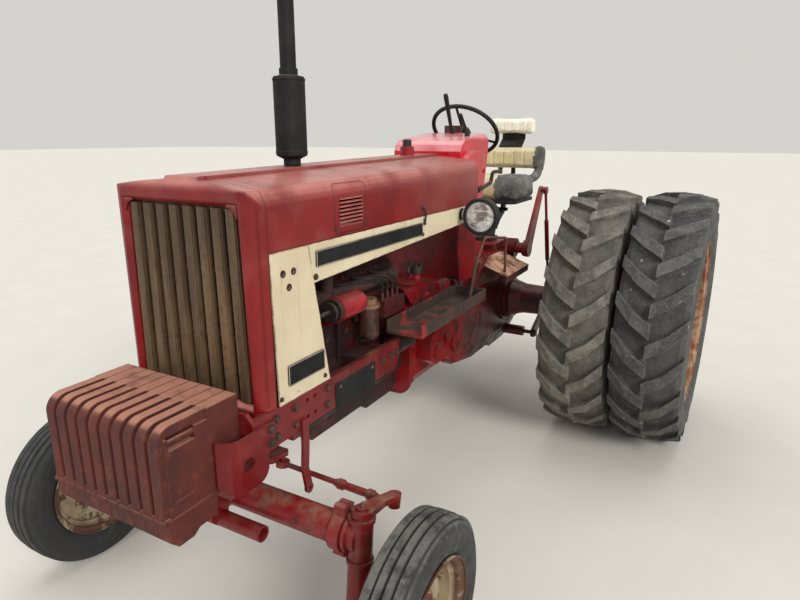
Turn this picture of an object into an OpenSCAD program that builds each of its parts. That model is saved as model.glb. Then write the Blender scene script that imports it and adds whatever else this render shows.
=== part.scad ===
/* [Rear wheels] */
// Outer radius over the lugs of a rear tyre
rear_tyre_r = 776; // [766:1:782]
// Width of a rear tyre
rear_tyre_w = 392; // [380:1:400]
// Rear axle behind the middle of the tractor
rear_axle_y = 1006; // [996:1:1016]
// Middle of the inner rear tyre from the centre line
rear_inner_x = 862; // [855:1:870]
// Middle of the outer rear tyre from the centre line
rear_outer_x = 1294; // [1290:1:1310]
// Radius of the rear bead seat
rear_bead_r = 483; // [480:1:486]
// Radius of the rear axle shaft
rear_shaft_r = 44; // [40:1:48]
// Lugs on each half of a rear tyre
lug_count = 22; // [20:1:24]

/* [Front wheels] */
// Outer radius of a front tyre
front_tyre_r = 350; // [344:1:356]
// Width of a front tyre
front_tyre_w = 168; // [160:1:174]
// Front wheel centre ahead of the middle of the tractor
front_axle_y = -1530; // [-1540:1:-1524]
// Middle of a front tyre from the centre line
front_wheel_x = 842; // [836:1:850]
// Radius of the front bead seat
front_bead_r = 205; // [202:1:208]

/* [Front axle] */
// Radius of the axle tube
axle_tube_r = 56; // [52:1:58]
// Height of the axle tube above the wheel centre, along the king pin
axle_rise = 213; // [208:1:220]
// King pin from the centre line
kingpin_x = 612; // [606:1:618]
// Lean of the king pin, top to the rear
caster = 6; // [4:0.5:7]
// Radius of the king pin
kingpin_r = 22; // [20:1:24]
// Length of the steering arms from pin to ball
steer_arm_len = 160; // [150:1:165]
// Radius of the axle's centre pivot pin
pivot_pin_r = 26; // [24:1:30]

/* [Frame] */
// Outer face of the side rails from the centre line
rail_x = 321; // [318:1:324]
// Thickness of a side rail
rail_t = 24; // [20:1:28]
// Underside of the side rails
rail_z0 = 855; // [850:1:860]
// Top of the side rails
rail_z1 = 988; // [984:1:988]
// Front end of the side rails
rail_y0 = -1630; // [-1636:1:-1624]
// Rear end of the side rails
rail_y1 = -720; // [-730:1:-700]
// Radius of the loader bolt holes
rail_hole_r = 8.5; // [8:0.5:9]

/* [Hood] */
// Outer side of the hood from the centre line
hood_x = 321; // [318:1:324]
// Lower edge of the hood
hood_z0 = 1515; // [1512:1:1518]
// Top of the hood at the nose
hood_z_front = 1738; // [1730:1:1745]
// Top of the hood at its rear end
hood_z_rear = 1768; // [1760:1:1772]
// Corner radius of the hood
hood_r = 92; // [80:1:100]
// Sheet of the hood
hood_t = 5; // [4:0.5:6]
// Front of the nose
nose_y0 = -1628; // [-1632:1:-1624]
// Seam between nose and hood
hood_y0 = -1562; // [-1566:1:-1558]
// Cross seam in the hood
hood_seam_y = -490; // [-500:1:-480]
// Rear end of the hood
hood_y1 = 170; // [165:1:172]
// Underside of the nose
nose_z0 = 988; // [984:1:992]

/* [Grille] */
// Number of upright slats
slat_count = 8; // [6:1:10]
// Half width of the grille opening at its top
grille_half_top = 250; // [246:1:254]
// Half width of the grille opening at its foot
grille_half_foot = 264; // [260:1:268]
// Gap between two slats
slat_gap = 20; // [16:1:24]

/* [Engine] */
// Half width of the cylinder block
block_x = 165; // [155:1:175]
// Front of the engine
engine_y0 = -1290; // [-1296:1:-1280]
// Rear of the engine
engine_y1 = -420; // [-425:1:-415]
// Deck of the cylinder block
deck_z = 1165; // [1155:1:1170]
// Top of the valve cover
valve_cover_z = 1400; // [1390:1:1410]

/* [Stack] */
// Muffler from the middle of the tractor
muffler_y = -1030; // [-1040:1:-1020]
// Radius of the muffler
muffler_r = 62; // [58:1:66]
// Top of the exhaust stack
stack_top_z = 2600; // [2590:1:2620]

/* [Driver] */
// Radius of the steering wheel ring
steering_wheel_r = 212; // [205:1:218]
// Lean of the steering column from upright
column_lean = 43; // [40:1:46]
// Steering wheel centre behind the middle of the tractor
steering_wheel_y = 720; // [710:1:730]
// Steering wheel centre above the floor
steering_wheel_z = 1905; // [1895:1:1912]
// Middle of the seat behind the middle of the tractor
seat_y = 1285; // [1275:1:1295]
// Half width of the seat
seat_x = 285; // [275:1:295]
// Top of the seat cushion
seat_z = 1600; // [1590:1:1610]

/* [Hitch] */
// Pivot of the lift arms behind the middle of the tractor
lift_y = 1130; // [1124:1:1136]
// Pivot of the lift arms above the floor
lift_z = 1105; // [1100:1:1112]
// Length of a lift arm
lift_arm_len = 460; // [450:1:470]
// Length of a lower link
lower_link_len = 958; // [940:1:960]
// Radius of the lower link's ball hole
link_ball_r = 14.35; // [14:0.05:15]

/* [Hidden] */
$fn = 64;

red = "#8c2f2b";
cream = "#cfc3a0";
rust = "#6b4a3a";
black = "#1d1d1d";
steel = "#8b8b86";

// Gap left between a resting piece and its seat
seat_gap = 0.3;
// Radial clearance of a turning fit
run_gap = 0.05;
// How far a cutting shape runs past the face that it cuts
past = 1;
// Facets of a disc inside a hull
hull_fn = 32;

module x_cyl(r, x0, x1) translate([x0, 0, 0]) rotate([0, 90, 0]) cylinder(r = r, h = x1 - x0);
module y_cyl(r, y0, y1) translate([0, y0, 0]) rotate([-90, 0, 0]) cylinder(r = r, h = y1 - y0);
module z_cyl(r, z0, z1) translate([0, 0, z0]) cylinder(r = r, h = z1 - z0);
module box(a, b) translate(a) cube(b - a);
// Outline of y and z values drawn from x0 to x1
module side_shape(x0, x1) translate([x0, 0, 0]) rotate([90, 0, 90]) linear_extrude(x1 - x0) children();
// Outline of x and z values drawn from y0 to y1
module front_shape(y0, y1) translate([0, y1, 0]) rotate([90, 0, 0]) linear_extrude(y1 - y0) children();
// Outline of x and y values drawn from z0 to z1
module plan_shape(z0, z1) translate([0, 0, z0]) linear_extrude(z1 - z0) children();
module both_sides() {
  children();
  mirror([1, 0, 0]) children();
}
// Straight round bar between two points
module bar(a, b, r) {
  d = b - a;
  n = norm(d);
  translate(a) rotate([0, acos(d[2] / n), atan2(d[1], d[0])]) cylinder(r = r, h = n);
}
// How far a bend's ball stands proud of its bar
bend_swell = 1;
// Round bar through a list of points, with a ball in each gentle bend
module bent_bar(points, r) {
  for (k = [0 : len(points) - 2]) bar(points[k], points[k + 1], r);
  if (len(points) > 2)
    for (k = [1 : len(points) - 2]) translate(points[k]) sphere(r = r + bend_swell, $fn = 32);
}
// Rectangle from a to b with its four corners rounded
module round_rect(a, b, r) {
  translate([a[0] + r, a[1]]) square([b[0] - a[0] - 2 * r, b[1] - a[1]]);
  translate([a[0], a[1] + r]) square([b[0] - a[0], b[1] - a[1] - 2 * r]);
  for (x = [a[0] + r, b[0] - r], y = [a[1] + r, b[1] - r]) translate([x, y]) circle(r = r);
}
function along(a, b, t) = a + (b - a) * t;
// A mirrored half outline, closed across the middle: radius, distance from the middle
function mirrored(half) = concat(
  half,
  [for (k = [len(half) - 1 : -1 : 0]) [half[k][0], -half[k][1]]]
);

// Front tyres

front_groove_depth = 12;
front_crown_r = front_tyre_r - front_groove_depth;
front_half_w = front_tyre_w / 2;
// Half section of the carcass: radius, distance from the mid plane
front_half_section = [
  [front_crown_r, front_half_w - 24], [front_crown_r - 8, front_half_w - 12],
  [front_crown_r - 26, front_half_w - 4], [front_crown_r - 52, front_half_w],
  [front_bead_r + 52, front_half_w - 3], [front_bead_r + 28, front_half_w - 10],
  [front_bead_r + 10, front_half_w - 21], [front_bead_r + seat_gap, front_half_w - 26]
];
// Ribs of the tread: inner edge, outer edge, drop of the top
front_ribs = [[5, 27, 0], [36, 62, 3]];

module front_tyre() {
  color(black) rotate([0, 90, 0]) rotate_extrude($fn = 96) {
    polygon(mirrored(front_half_section));
    for (rib = front_ribs, side = [-1, 1])
      translate([front_crown_r - 4, side > 0 ? rib[0] : -rib[1]])
        square([front_groove_depth + 4 - rib[2], rib[1] - rib[0]]);
  }
}
module front_place() translate([front_wheel_x, front_axle_y, front_tyre_r]) children();
module front_tyre_left() front_place() front_tyre();
module front_tyre_right() mirror([1, 0, 0]) front_place() front_tyre();

// Rear tyres

// Lug stations: place across the tread, lead angle of the nose, drop of the top, buried depth
lug_stations = [[-6, 12.5, 0, 61], [96, 7.5, 6, 64], [187, 0, 32, 86]];
lug_base_angle = 3.3;
lug_top_angle = 2.8;
lug_height = 38;
function ring_point(r, a, angle) = [r * cos(angle), r * sin(angle), a];
function split(q) = [[q[0], q[1], q[2]], [q[0], q[2], q[3]]];
module rear_lug(side, turn) {
  points = [
    for (s = lug_stations)
      for (c = [[s[3], -lug_base_angle], [s[3], lug_base_angle],
           [s[2], lug_top_angle], [s[2], -lug_top_angle]])
        ring_point(rear_tyre_r / cos(lug_top_angle) - c[0], side * s[0], turn + s[1] + c[1])
  ];
  last = 4 * len(lug_stations) - 4;
  flanks = [
    for (k = [0 : len(lug_stations) - 2], e = [0 : 3])
      [4 * k + e, 4 * k + (e + 1) % 4, 4 * k + 4 + (e + 1) % 4, 4 * k + 4 + e]
  ];
  ends = [[0, 3, 2, 1], [last, last + 1, last + 2, last + 3]];
  polyhedron(points, [
    for (q = concat(flanks, ends), t = split(q))
      side < 0 ? [t[2], t[1], t[0]] : t
  ]);
}
crown_r = rear_tyre_r - lug_height;
rear_half_w = rear_tyre_w / 2;
// Half section of the carcass: radius, distance from the mid plane
rear_half_section = [
  [crown_r, 60], [crown_r - 16, 160], [crown_r - 36, 186], [crown_r - 78, rear_half_w - 4],
  [crown_r - 133, rear_half_w], [rear_bead_r + 77, rear_half_w - 8],
  [rear_bead_r + 37, 163], [rear_bead_r + seat_gap, 152]
];
module rear_tyre(turn) {
  color("#2b2927") rotate([0, 90, 0]) {
    rotate_extrude($fn = 96) polygon(mirrored(rear_half_section));
    for (i = [0 : lug_count - 1]) {
      rear_lug(1, turn + i * 360 / lug_count);
      rear_lug(-1, turn + (i + 0.5) * 360 / lug_count);
    }
  }
}
module rear_place(x) translate([x, rear_axle_y, rear_tyre_r]) children();
// The outer rim sits crooked on its disc, turned in at the front by these degrees
outer_toe = 2.2;
// Turns that set a lug's nose on the floor, from its left or its right half
turn_left_nose = -lug_stations[0][1];
turn_right_nose = turn_left_nose - 180 / lug_count;
module rear_tyres() {
  rear_place(rear_inner_x) rear_tyre(turn_left_nose);
  rear_place(rear_outer_x) rotate([0, 0, -outer_toe]) rear_tyre(turn_right_nose);
}
module rear_tyres_left() rear_tyres();
module rear_tyres_right() mirror([1, 0, 0]) rear_tyres();

// Rear rims, dished discs, hubs and the bar axle

// Half of the rim wall from flange to well: radius over the bead seat, distance from the mid plane
rear_rim_wall = [[26, 172], [26, 163], [4, 159], [0, 152], [0, 120], [-34, 96], [-34, 0]];
rim_t = 7;
disc_t = 12;
disc_dish = 46;
disc_flat_r = 175;
disc_rim_r = rear_bead_r + rear_rim_wall[5][0] - rim_t + 4;
rear_disc_x = 40;
rear_hub_r = 92;
rear_hub_len = 170;
hub_flange_r = 140;
hub_flange_t = 18;
hand_holes = 8;
hand_hole_r = 36;
hand_hole_place = 345;
axle_end = 150;
shaft_entry = 60;
axle_housing_x = 600;
module rim_ring(wall, bead_r, t) {
  rotate([0, 90, 0]) rotate_extrude($fn = 96) polygon(concat(
    [for (p = wall) [bead_r + p[0], p[1]]],
    [for (k = [len(wall) - 1 : -1 : 0]) [bead_r - t + wall[k][0], wall[k][1]]]
  ));
}
// Both halves of a rim wall, from flange to flange
function full_wall(half) = concat(half, [for (k = [len(half) - 2 : -1 : 0]) [half[k][0], -half[k][1]]]);
module dished_disc() {
  face = [
    [rear_hub_r - 10, -disc_dish], [disc_flat_r, -disc_dish], [disc_flat_r + 70, -12],
    [disc_rim_r - 60, 0], [disc_rim_r, 0]
  ];
  rotate([0, 90, 0]) rotate_extrude($fn = 96) polygon(concat(
    face, [for (k = [len(face) - 1 : -1 : 0]) face[k] + [0, disc_t]]
  ));
}
module rear_wheel_metal(side, toe) {
  rotate([0, 0, -toe]) rim_ring(full_wall(rear_rim_wall), rear_bead_r, rim_t);
  mirror([side < 0 ? 1 : 0, 0, 0]) translate([rear_disc_x, 0, 0]) {
    difference() {
      dished_disc();
      for (k = [0 : hand_holes - 1])
        rotate([(k + 0.5) * 360 / hand_holes, 0, 0]) translate([0, 0, hand_hole_place])
          x_cyl(hand_hole_r, -rear_disc_x, rear_disc_x);
    }
    x_cyl(rear_hub_r, -disc_dish - 30, -disc_dish + rear_hub_len);
    x_cyl(hub_flange_r, -disc_dish + disc_t - past, -disc_dish + disc_t + hub_flange_t);
  }
}
module rear_rims() {
  color(red) {
    rear_place(rear_inner_x) rear_wheel_metal(1, 0);
    rear_place(rear_outer_x) rear_wheel_metal(-1, outer_toe);
    rear_place(0) x_cyl(rear_shaft_r, axle_housing_x - shaft_entry, rear_outer_x + axle_end);
  }
}
module rear_rims_left() rear_rims();
module rear_rims_right() mirror([1, 0, 0]) rear_rims();

// Front axle: centred on the front wheel axis and leaning back with the king pins

module steer_frame() translate([0, front_axle_y, front_tyre_r]) rotate([-caster, 0, 0]) children();

sleeve_r = 42;
sleeve_z0 = 120;
sleeve_z1 = 286;
sleeve_collar = 14;
clamp_x0 = 516;
clamp_x1 = 560;
clamp_wall = 15;
clamp_slit = 5;
ear_top = 46;
knee_x0 = 568;
knee_t = 14;
boss_r = 66;
boss_half = 62;
axle_pivot_y = front_axle_y + axle_rise * sin(caster);
axle_pivot_z = front_tyre_r + axle_rise * cos(caster);
module axle_pivot_place() translate([0, axle_pivot_y, axle_pivot_z]) children();
// Split clamp that holds the axle's end at one of its track widths
module axle_clamp() {
  translate([0, 0, axle_rise]) difference() {
    side_shape(clamp_x0, clamp_x1) {
      circle(r = axle_tube_r + clamp_wall);
      round_rect([-30, 30], [30, axle_tube_r + ear_top], 10);
      round_rect([-24, -axle_tube_r - ear_top + 12], [24, -30], 10);
    }
    box([clamp_x0 - past, -clamp_slit / 2, axle_tube_r + 4],
      [clamp_x1 + past, clamp_slit / 2, axle_tube_r + ear_top + past]);
  }
}
module front_axle() {
  color(red) difference() {
    union() {
      steer_frame() {
        translate([0, 0, axle_rise]) {
          x_cyl(axle_tube_r, -kingpin_x, kingpin_x);
          both_sides() x_cyl(axle_tube_r + 10, knee_x0, knee_x0 + knee_t);
        }
        both_sides() {
          translate([kingpin_x, 0, 0]) {
            z_cyl(sleeve_r, sleeve_z0, sleeve_z1);
            z_cyl(sleeve_r + 6, sleeve_z0, sleeve_z0 + sleeve_collar);
            z_cyl(sleeve_r + 6, sleeve_z1 - sleeve_collar, sleeve_z1);
          }
          axle_clamp();
        }
      }
      axle_pivot_place() y_cyl(boss_r, -boss_half, boss_half);
    }
    steer_frame() both_sides() translate([kingpin_x, 0, 0])
      z_cyl(kingpin_r + run_gap, sleeve_z0 - past, sleeve_z1 + past);
    axle_pivot_place() y_cyl(pivot_pin_r + run_gap, -boss_half - past, boss_half + past);
  }
}

// Knuckles and steering linkage

arm_gap = 4;
arm_z = sleeve_z1 + arm_gap;
arm_t = 22;
arm_bend = [14, 96];
cap_h = 10;
ball_r = 11;
ball_x = 36;
boot_h = 30;
centre_post_y = 124;
spindle_r = 25;
spindle_boss_r = 33;
hub_x0 = front_wheel_x - 92;
hub_x1 = front_wheel_x + 40;
hub_clear = 6;
cap_recess = 30;
module steer_arm_plate() {
  hull() {
    cylinder(r = 38, h = arm_t, $fn = hull_fn);
    translate(concat(arm_bend, 0)) cylinder(r = 23, h = arm_t, $fn = hull_fn);
  }
  hull() {
    translate(concat(arm_bend, 0)) cylinder(r = 23, h = arm_t, $fn = hull_fn);
    translate([ball_x, steer_arm_len, 0]) cylinder(r = 24, h = arm_t, $fn = hull_fn);
  }
}
module knuckle() {
  color(red) steer_frame() translate([kingpin_x, 0, 0]) {
    z_cyl(kingpin_r, 0, arm_z + arm_t + cap_h);
    z_cyl(sleeve_r, -44, sleeve_z0 - arm_gap);
    translate([0, 0, arm_z]) steer_arm_plate();
    translate([ball_x, steer_arm_len, 0]) z_cyl(ball_r, arm_z - boot_h - 4, arm_z + arm_gap);
    x_cyl(spindle_boss_r, 20, hub_x0 - kingpin_x - hub_clear);
    x_cyl(spindle_r, 20, hub_x1 - kingpin_x - cap_recess);
  }
}
module knuckle_left() knuckle();
module knuckle_right() mirror([1, 0, 0]) knuckle();

rod_r = 11;
rod_eye_r = 22;
rod_eye_t = 24;
rod_eye_z = arm_z - boot_h;
rod_sleeve_r = 15;
rod_sleeve = [0.52, 0.86];
rod_clamps = [0.55, 0.8];
inner_eye_r = 30;
inner_eye_gap = 9;
centre_arm_z = axle_rise + 34;
inner_eye_z = centre_arm_z - 26 - rod_eye_t;
outer_ball = [kingpin_x + ball_x, steer_arm_len];
inner_ball = [ball_x, steer_arm_len + centre_post_y];
module tie_rod() {
  inner = concat(inner_ball, inner_eye_z + rod_eye_t / 2);
  outer = concat(outer_ball, rod_eye_z + rod_eye_t / 2);
  color(red) steer_frame() difference() {
    union() {
      translate(outer_ball) z_cyl(rod_eye_r, rod_eye_z, rod_eye_z + rod_eye_t);
      translate(inner_ball) z_cyl(inner_eye_r, inner_eye_z, inner_eye_z + rod_eye_t);
      bar(inner, outer, rod_r);
      bar(along(inner, outer, rod_sleeve[0]), along(inner, outer, rod_sleeve[1]), rod_sleeve_r);
      for (t = rod_clamps)
        bar(along(inner, outer, t), along(inner, outer, t + 0.035), rod_sleeve_r + 6);
    }
    translate(outer_ball) z_cyl(ball_r + run_gap, 0, 500);
    translate(inner_ball) z_cyl(ball_r + inner_eye_gap, 0, 500);
  }
}
module tie_rod_left() tie_rod();
module tie_rod_right() mirror([1, 0, 0]) tie_rod();

post_r = 24;
post_top = 560;
module steering_arm() {
  color(black) steer_frame() translate([0, centre_post_y, 0]) {
    z_cyl(post_r, centre_arm_z + 2, post_top);
    hull() {
      translate([0, 0, centre_arm_z]) cylinder(r = 40, h = arm_t, $fn = hull_fn);
      for (s = [-1, 1])
        translate([s * ball_x, steer_arm_len, centre_arm_z]) cylinder(r = 22, h = arm_t, $fn = hull_fn);
    }
    for (s = [-1, 1])
      translate([s * ball_x, steer_arm_len, 0]) z_cyl(ball_r, inner_eye_z - 6, centre_arm_z + 4);
  }
}

// Front rims and hubs

front_rim_wall = [[18, 80], [18, 73], [3, 64], [0, 58], [0, 44], [-20, 34], [-20, 0]];
front_rim_t = 5;
front_dish = 26;
front_disc_t = 8;
front_hub_r = 52;
front_flange_r = 78;
front_disc_x = -8;
module front_rim() {
  face = [
    [front_hub_r - 8, front_dish], [front_flange_r + 8, front_dish], [front_flange_r + 34, 4],
    [front_bead_r - 50, 0], [front_bead_r - 25 + 3, 0]
  ];
  color(cream) front_place() difference() {
    union() {
      rim_ring(full_wall(front_rim_wall), front_bead_r, front_rim_t);
      translate([front_disc_x, 0, 0]) rotate([0, 90, 0]) rotate_extrude($fn = 96) polygon(concat(
        face, [for (k = [len(face) - 1 : -1 : 0]) face[k] - [0, front_disc_t]]
      ));
      x_cyl(front_hub_r, hub_x0 - front_wheel_x, hub_x1 - front_wheel_x);
      x_cyl(front_flange_r, front_disc_x + front_dish - front_disc_t - 12,
        front_disc_x + front_dish - front_disc_t + past);
    }
    x_cyl(spindle_r + run_gap, hub_x0 - front_wheel_x - past, hub_x1 - front_wheel_x - cap_recess + 10);
  }
}
module front_rim_left() front_rim();
module front_rim_right() mirror([1, 0, 0]) front_rim();

// Frame rails, bolster, weights

// Loader holes in a rail: heights, places along the rail
rail_rows = [955, 890];
rail_cols = [-1570, -1470, -1400, -1355, -1278];
rail_slope = 46;
rail_nose_r = 20;
// Hanger bar behind the axle tube: its points, as y and z, from the rail down to its eye
hanger_points = [[-1430, 894], [-1430, 790], [-1438, 700], [-1420, 612]];
hanger_w = 34;
hanger_t = 12;
module side_rails() {
  color(red) both_sides() {
    difference() {
      side_shape(rail_x - rail_t, rail_x) {
        polygon([
          [rail_y0 + rail_nose_r, rail_z0], [rail_y1 - rail_slope, rail_z0], [rail_y1, rail_z0 + rail_slope],
          [rail_y1, rail_z1], [rail_y0, rail_z1], [rail_y0, rail_z0 + rail_nose_r]
        ]);
        translate([rail_y0 + rail_nose_r, rail_z0 + rail_nose_r]) circle(r = rail_nose_r);
      }
      for (y = rail_cols, z = rail_rows)
        translate([0, y, z]) x_cyl(rail_hole_r, rail_x - rail_t - past, rail_x + past);
    }
    difference() {
      side_shape(rail_x, rail_x + hanger_t) {
        polygon(concat(
          [for (p = hanger_points) p + [hanger_w / 2, 0]],
          [for (k = [len(hanger_points) - 1 : -1 : 0]) hanger_points[k] - [hanger_w / 2, 0]]
        ));
        translate(hanger_points[len(hanger_points) - 1]) circle(r = hanger_w / 2 + 3);
      }
      translate(concat(0, hanger_points[len(hanger_points) - 1]))
        x_cyl(rail_hole_r, rail_x - past, rail_x + hanger_t + past);
    }
  }
}
bolster_x = rail_x - rail_t;
bolster_y1 = engine_y0;
bolster_wall = 40;
bolster_floor = 20;
bolster_drop = 10;
leg_x = 70;
leg_gap = 8;
leg_y0 = rail_y0 - 30;
leg_y1 = axle_pivot_y - boss_half - leg_gap;
leg_drop = 70;
pad_x = [190, 280];
pad_y = [-1440, -1345];
pad_z = 800;
cross_tube_y = -1615;
cross_tube_z = 515;
cross_tube_r = 30;
cross_tube_x = 270;
module front_bolster() {
  color(red) {
    difference() {
      plan_shape(rail_z0 - bolster_drop, rail_z1)
        plan_outline(bolster_x, rail_y0, bolster_y1, 24);
      box([-bolster_x + bolster_wall, rail_y0 + bolster_wall, rail_z0 + bolster_floor],
        [bolster_x - bolster_wall, bolster_y1 - bolster_wall, rail_z1 + past]);
      steer_frame() translate([0, centre_post_y, 0]) z_cyl(post_r + run_gap, centre_arm_z, post_top);
    }
    both_sides() box([pad_x[0], pad_y[0], pad_z], [pad_x[1], pad_y[1], rail_z0]);
    difference() {
      side_shape(-leg_x, leg_x) polygon([
        [leg_y0 + 24, axle_pivot_z - leg_drop], [leg_y1, axle_pivot_z - leg_drop],
        [leg_y1, rail_z0 - 40], [leg_y1 + 60, rail_z0 - bolster_drop],
        [leg_y0, rail_z0 - bolster_drop], [leg_y0, axle_pivot_z - leg_drop + 24]
      ]);
      both_sides()
        box([leg_x - 22, leg_y0 - past, axle_pivot_z + 60], [leg_x + past, leg_y1 - 24, rail_z0 - 40]);
    }
    axle_pivot_place() {
      y_cyl(pivot_pin_r, -boss_half - 30, boss_half + 18);
      y_cyl(pivot_pin_r + 12, boss_half + 6, boss_half + 18);
    }
    difference() {
      translate([0, cross_tube_y, cross_tube_z]) x_cyl(cross_tube_r, -cross_tube_x, cross_tube_x);
      translate([0, cross_tube_y, cross_tube_z]) both_sides()
        x_cyl(cross_tube_r - 6, cross_tube_x - 60, cross_tube_x + past);
    }
  }
}

weight_y0 = -1996;
plate_y0 = -1684;
weight_y1 = plate_y0 - seat_gap;
weight_half = 264;
weight_count = 10;
weight_z0 = 692;
weight_z1 = 1080;
weight_ridge_z = 793;
weight_nose_r = 56;
ridge_h = 12;
slab_gap = 3;
slot_w = 17;
slot_end_y = -1812;
bar_y = -1792;
bar_z = 905;
bar_r = 42;
hand_hold = [-1962, -1862];
hand_bar_r = 9;
// Side outline of a weight
module weight_outline() {
  difference() {
    union() {
      polygon([
        [weight_y0 + 8, weight_ridge_z], [weight_y0 + 8, weight_z0 + 30], [weight_y0 + 38, weight_z0],
        [weight_y0 + 96, weight_z0], [weight_y0 + 120, weight_z0 + 18], [weight_y1 - 96, weight_z0 + 18],
        [weight_y1, weight_z0 + 210], [weight_y1, weight_z1], [weight_y0 + weight_nose_r, weight_z1],
        [weight_y0, weight_z1 - weight_nose_r], [weight_y0, weight_ridge_z]
      ]);
      translate([weight_y0 + weight_nose_r, weight_z1 - weight_nose_r]) circle(r = weight_nose_r);
    }
    translate([weight_y1 - 30, weight_z0 + 40]) circle(r = 88);
  }
}
// One cast weight, outer 1 on the far left of the row and -1 on its far right
module weight_slab(pitch, outer) {
  w = pitch - slab_gap;
  cut = (slot_w - slab_gap) / 2;
  hole_x0 = outer < 0 ? 14 : -past;
  hole_x1 = outer > 0 ? w - 14 : w + past;
  translate([slab_gap / 2, 0, 0]) difference() {
    union() {
      side_shape(0, w) weight_outline();
      box([0, weight_y0 - 4, weight_ridge_z - ridge_h], [w, weight_y0 + 40, weight_ridge_z]);
      if (outer != 0) box([outer > 0 ? w - 5 : -4, weight_y0 + 8, weight_ridge_z - ridge_h],
        [outer > 0 ? w + 4 : 5, weight_y1 - 130, weight_ridge_z]);
    }
    for (x = [[-past, cut], [w - cut, w + past]]) {
      box([x[0], weight_y0 - past, weight_ridge_z + 6], [x[1], weight_y0 + 22, weight_z1 + past]);
      box([x[0], weight_y0 - past, weight_z1 - 34], [x[1], slot_end_y, weight_z1 + past]);
    }
    translate([0, bar_y, bar_z]) x_cyl(bar_r, hole_x0, hole_x1);
    if (outer != 0) {
      side_x = outer > 0 ? [w - 26, w + past] : [-past, 26];
      box([side_x[0], hand_hold[0], weight_z1 - 74], [side_x[1], hand_hold[1], weight_z1 - 30]);
      translate([outer > 0 ? w - 3 : -past, 0, 0]) side_shape(0, 3 + past)
        round_rect([-1962, 838], [-1880, 908], 12);
    }
  }
  if (outer != 0) translate([outer > 0 ? slab_gap / 2 + w - 12 : slab_gap / 2 + 12, 0, weight_z1 - 52])
    y_cyl(hand_bar_r, hand_hold[0] - 4, hand_hold[1] + 4);
}
module front_weights() {
  pitch = 2 * weight_half / weight_count;
  color(rust) for (i = [0 : weight_count - 1])
    translate([-weight_half + i * pitch, 0, 0])
      weight_slab(pitch, i == 0 ? -1 : (i == weight_count - 1 ? 1 : 0));
}

plate_t = 16;
strap_t = 12;
strap_z0 = 772;
strap_z1 = 960;
strap_corner_r = 46;
strap_bend_y = -1752;
strap_tip_y = -1806;
strap_foot_y = -1592;
strap_slot = [[-1746, 842], [-1692, 884]];
rail_bolts = [-1612];
module weight_bracket() {
  half = weight_half - 16;
  outer = rail_x + strap_t;
  color(red) {
    translate([0, bar_y, bar_z]) x_cyl(bar_r - seat_gap, -half, half);
    front_shape(plate_y0, plate_y0 + plate_t) polygon([
      [-rail_x, 980], [-rail_x, strap_z0 + 40], [-200, 668], [200, 668], [rail_x, strap_z0 + 40],
      [rail_x, 980], [rail_x - 30, 1010], [-rail_x + 30, 1010]
    ]);
    both_sides() {
      box([rail_x - rail_t, plate_y0 + plate_t - past, rail_z0 + 20], [rail_x, rail_y0, rail_z1]);
      difference() {
        intersection() {
          plan_shape(strap_z0, strap_z1) polygon([
            [outer, strap_foot_y], [outer, strap_bend_y], [outer - 14, strap_bend_y - 32],
            [weight_half + strap_t, strap_tip_y], [weight_half + seat_gap, strap_tip_y + 4],
            [weight_half + seat_gap, strap_tip_y + 14],
            [outer - 24, strap_bend_y - 24], [outer - strap_t, strap_bend_y],
            [outer - strap_t, strap_foot_y]
          ]);
          side_shape(0, outer + past) {
            round_rect([strap_tip_y - past, strap_z0], [plate_y0 + 54, strap_z1], strap_corner_r);
            box2(strap_tip_y - past, strap_z0 + 90, strap_foot_y + past, strap_z1);
          }
        }
        side_shape(rail_x - 60, outer + past) round_rect(strap_slot[0], strap_slot[1], 18);
        for (y = rail_bolts) translate([0, y, rail_rows[1]])
          x_cyl(rail_hole_r, rail_x - past, outer + past);
      }
    }
  }
}
module box2(x0, y0, x1, y1) translate([x0, y0]) square([x1 - x0, y1 - y0]);

// Nose, grille, radiator

hood_crown_r = 1700;
// Hood section: upright sides, round shoulders and a crowned top
module front_outline(half, z0, z1, r) {
  intersection() {
    union() {
      translate([-half, z0]) square([2 * half, z1 - r - z0]);
      translate([-half + r, z1 - r]) circle(r = r);
      translate([half - r, z1 - r]) circle(r = r);
      translate([-half + r, z1 - r]) square([2 * (half - r), r]);
    }
    translate([0, z1 - hood_crown_r]) circle(r = hood_crown_r, $fn = 360);
  }
}
opening_z0 = 1008;
opening_z1 = 1662;
nose_corner_r = 58;
nose_top_r = 34;
strip_x = 75;
strip_h = 10;
strip_depth = 20;
module plan_outline(half, y0, y1, r) {
  translate([-half + r, y0 + r]) circle(r = r);
  translate([half - r, y0 + r]) circle(r = r);
  translate([-half + r, y0]) square([2 * (half - r), y1 - y0]);
  translate([-half, y0 + r]) square([2 * half, y1 - y0 - r]);
}
function opening_half(z) = grille_half_foot
  + (grille_half_top - grille_half_foot) * (z - opening_z0) / (opening_z1 - opening_z0);
module grille_hole(extra) {
  polygon([
    [-grille_half_foot - extra, opening_z0 - extra], [grille_half_foot + extra, opening_z0 - extra],
    [grille_half_top + extra, opening_z1 + extra], [-grille_half_top - extra, opening_z1 + extra]
  ]);
}
nose_wall = 8;
nose_depth = 30;
lip_w = 15;
lip_depth = 17;
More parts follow.
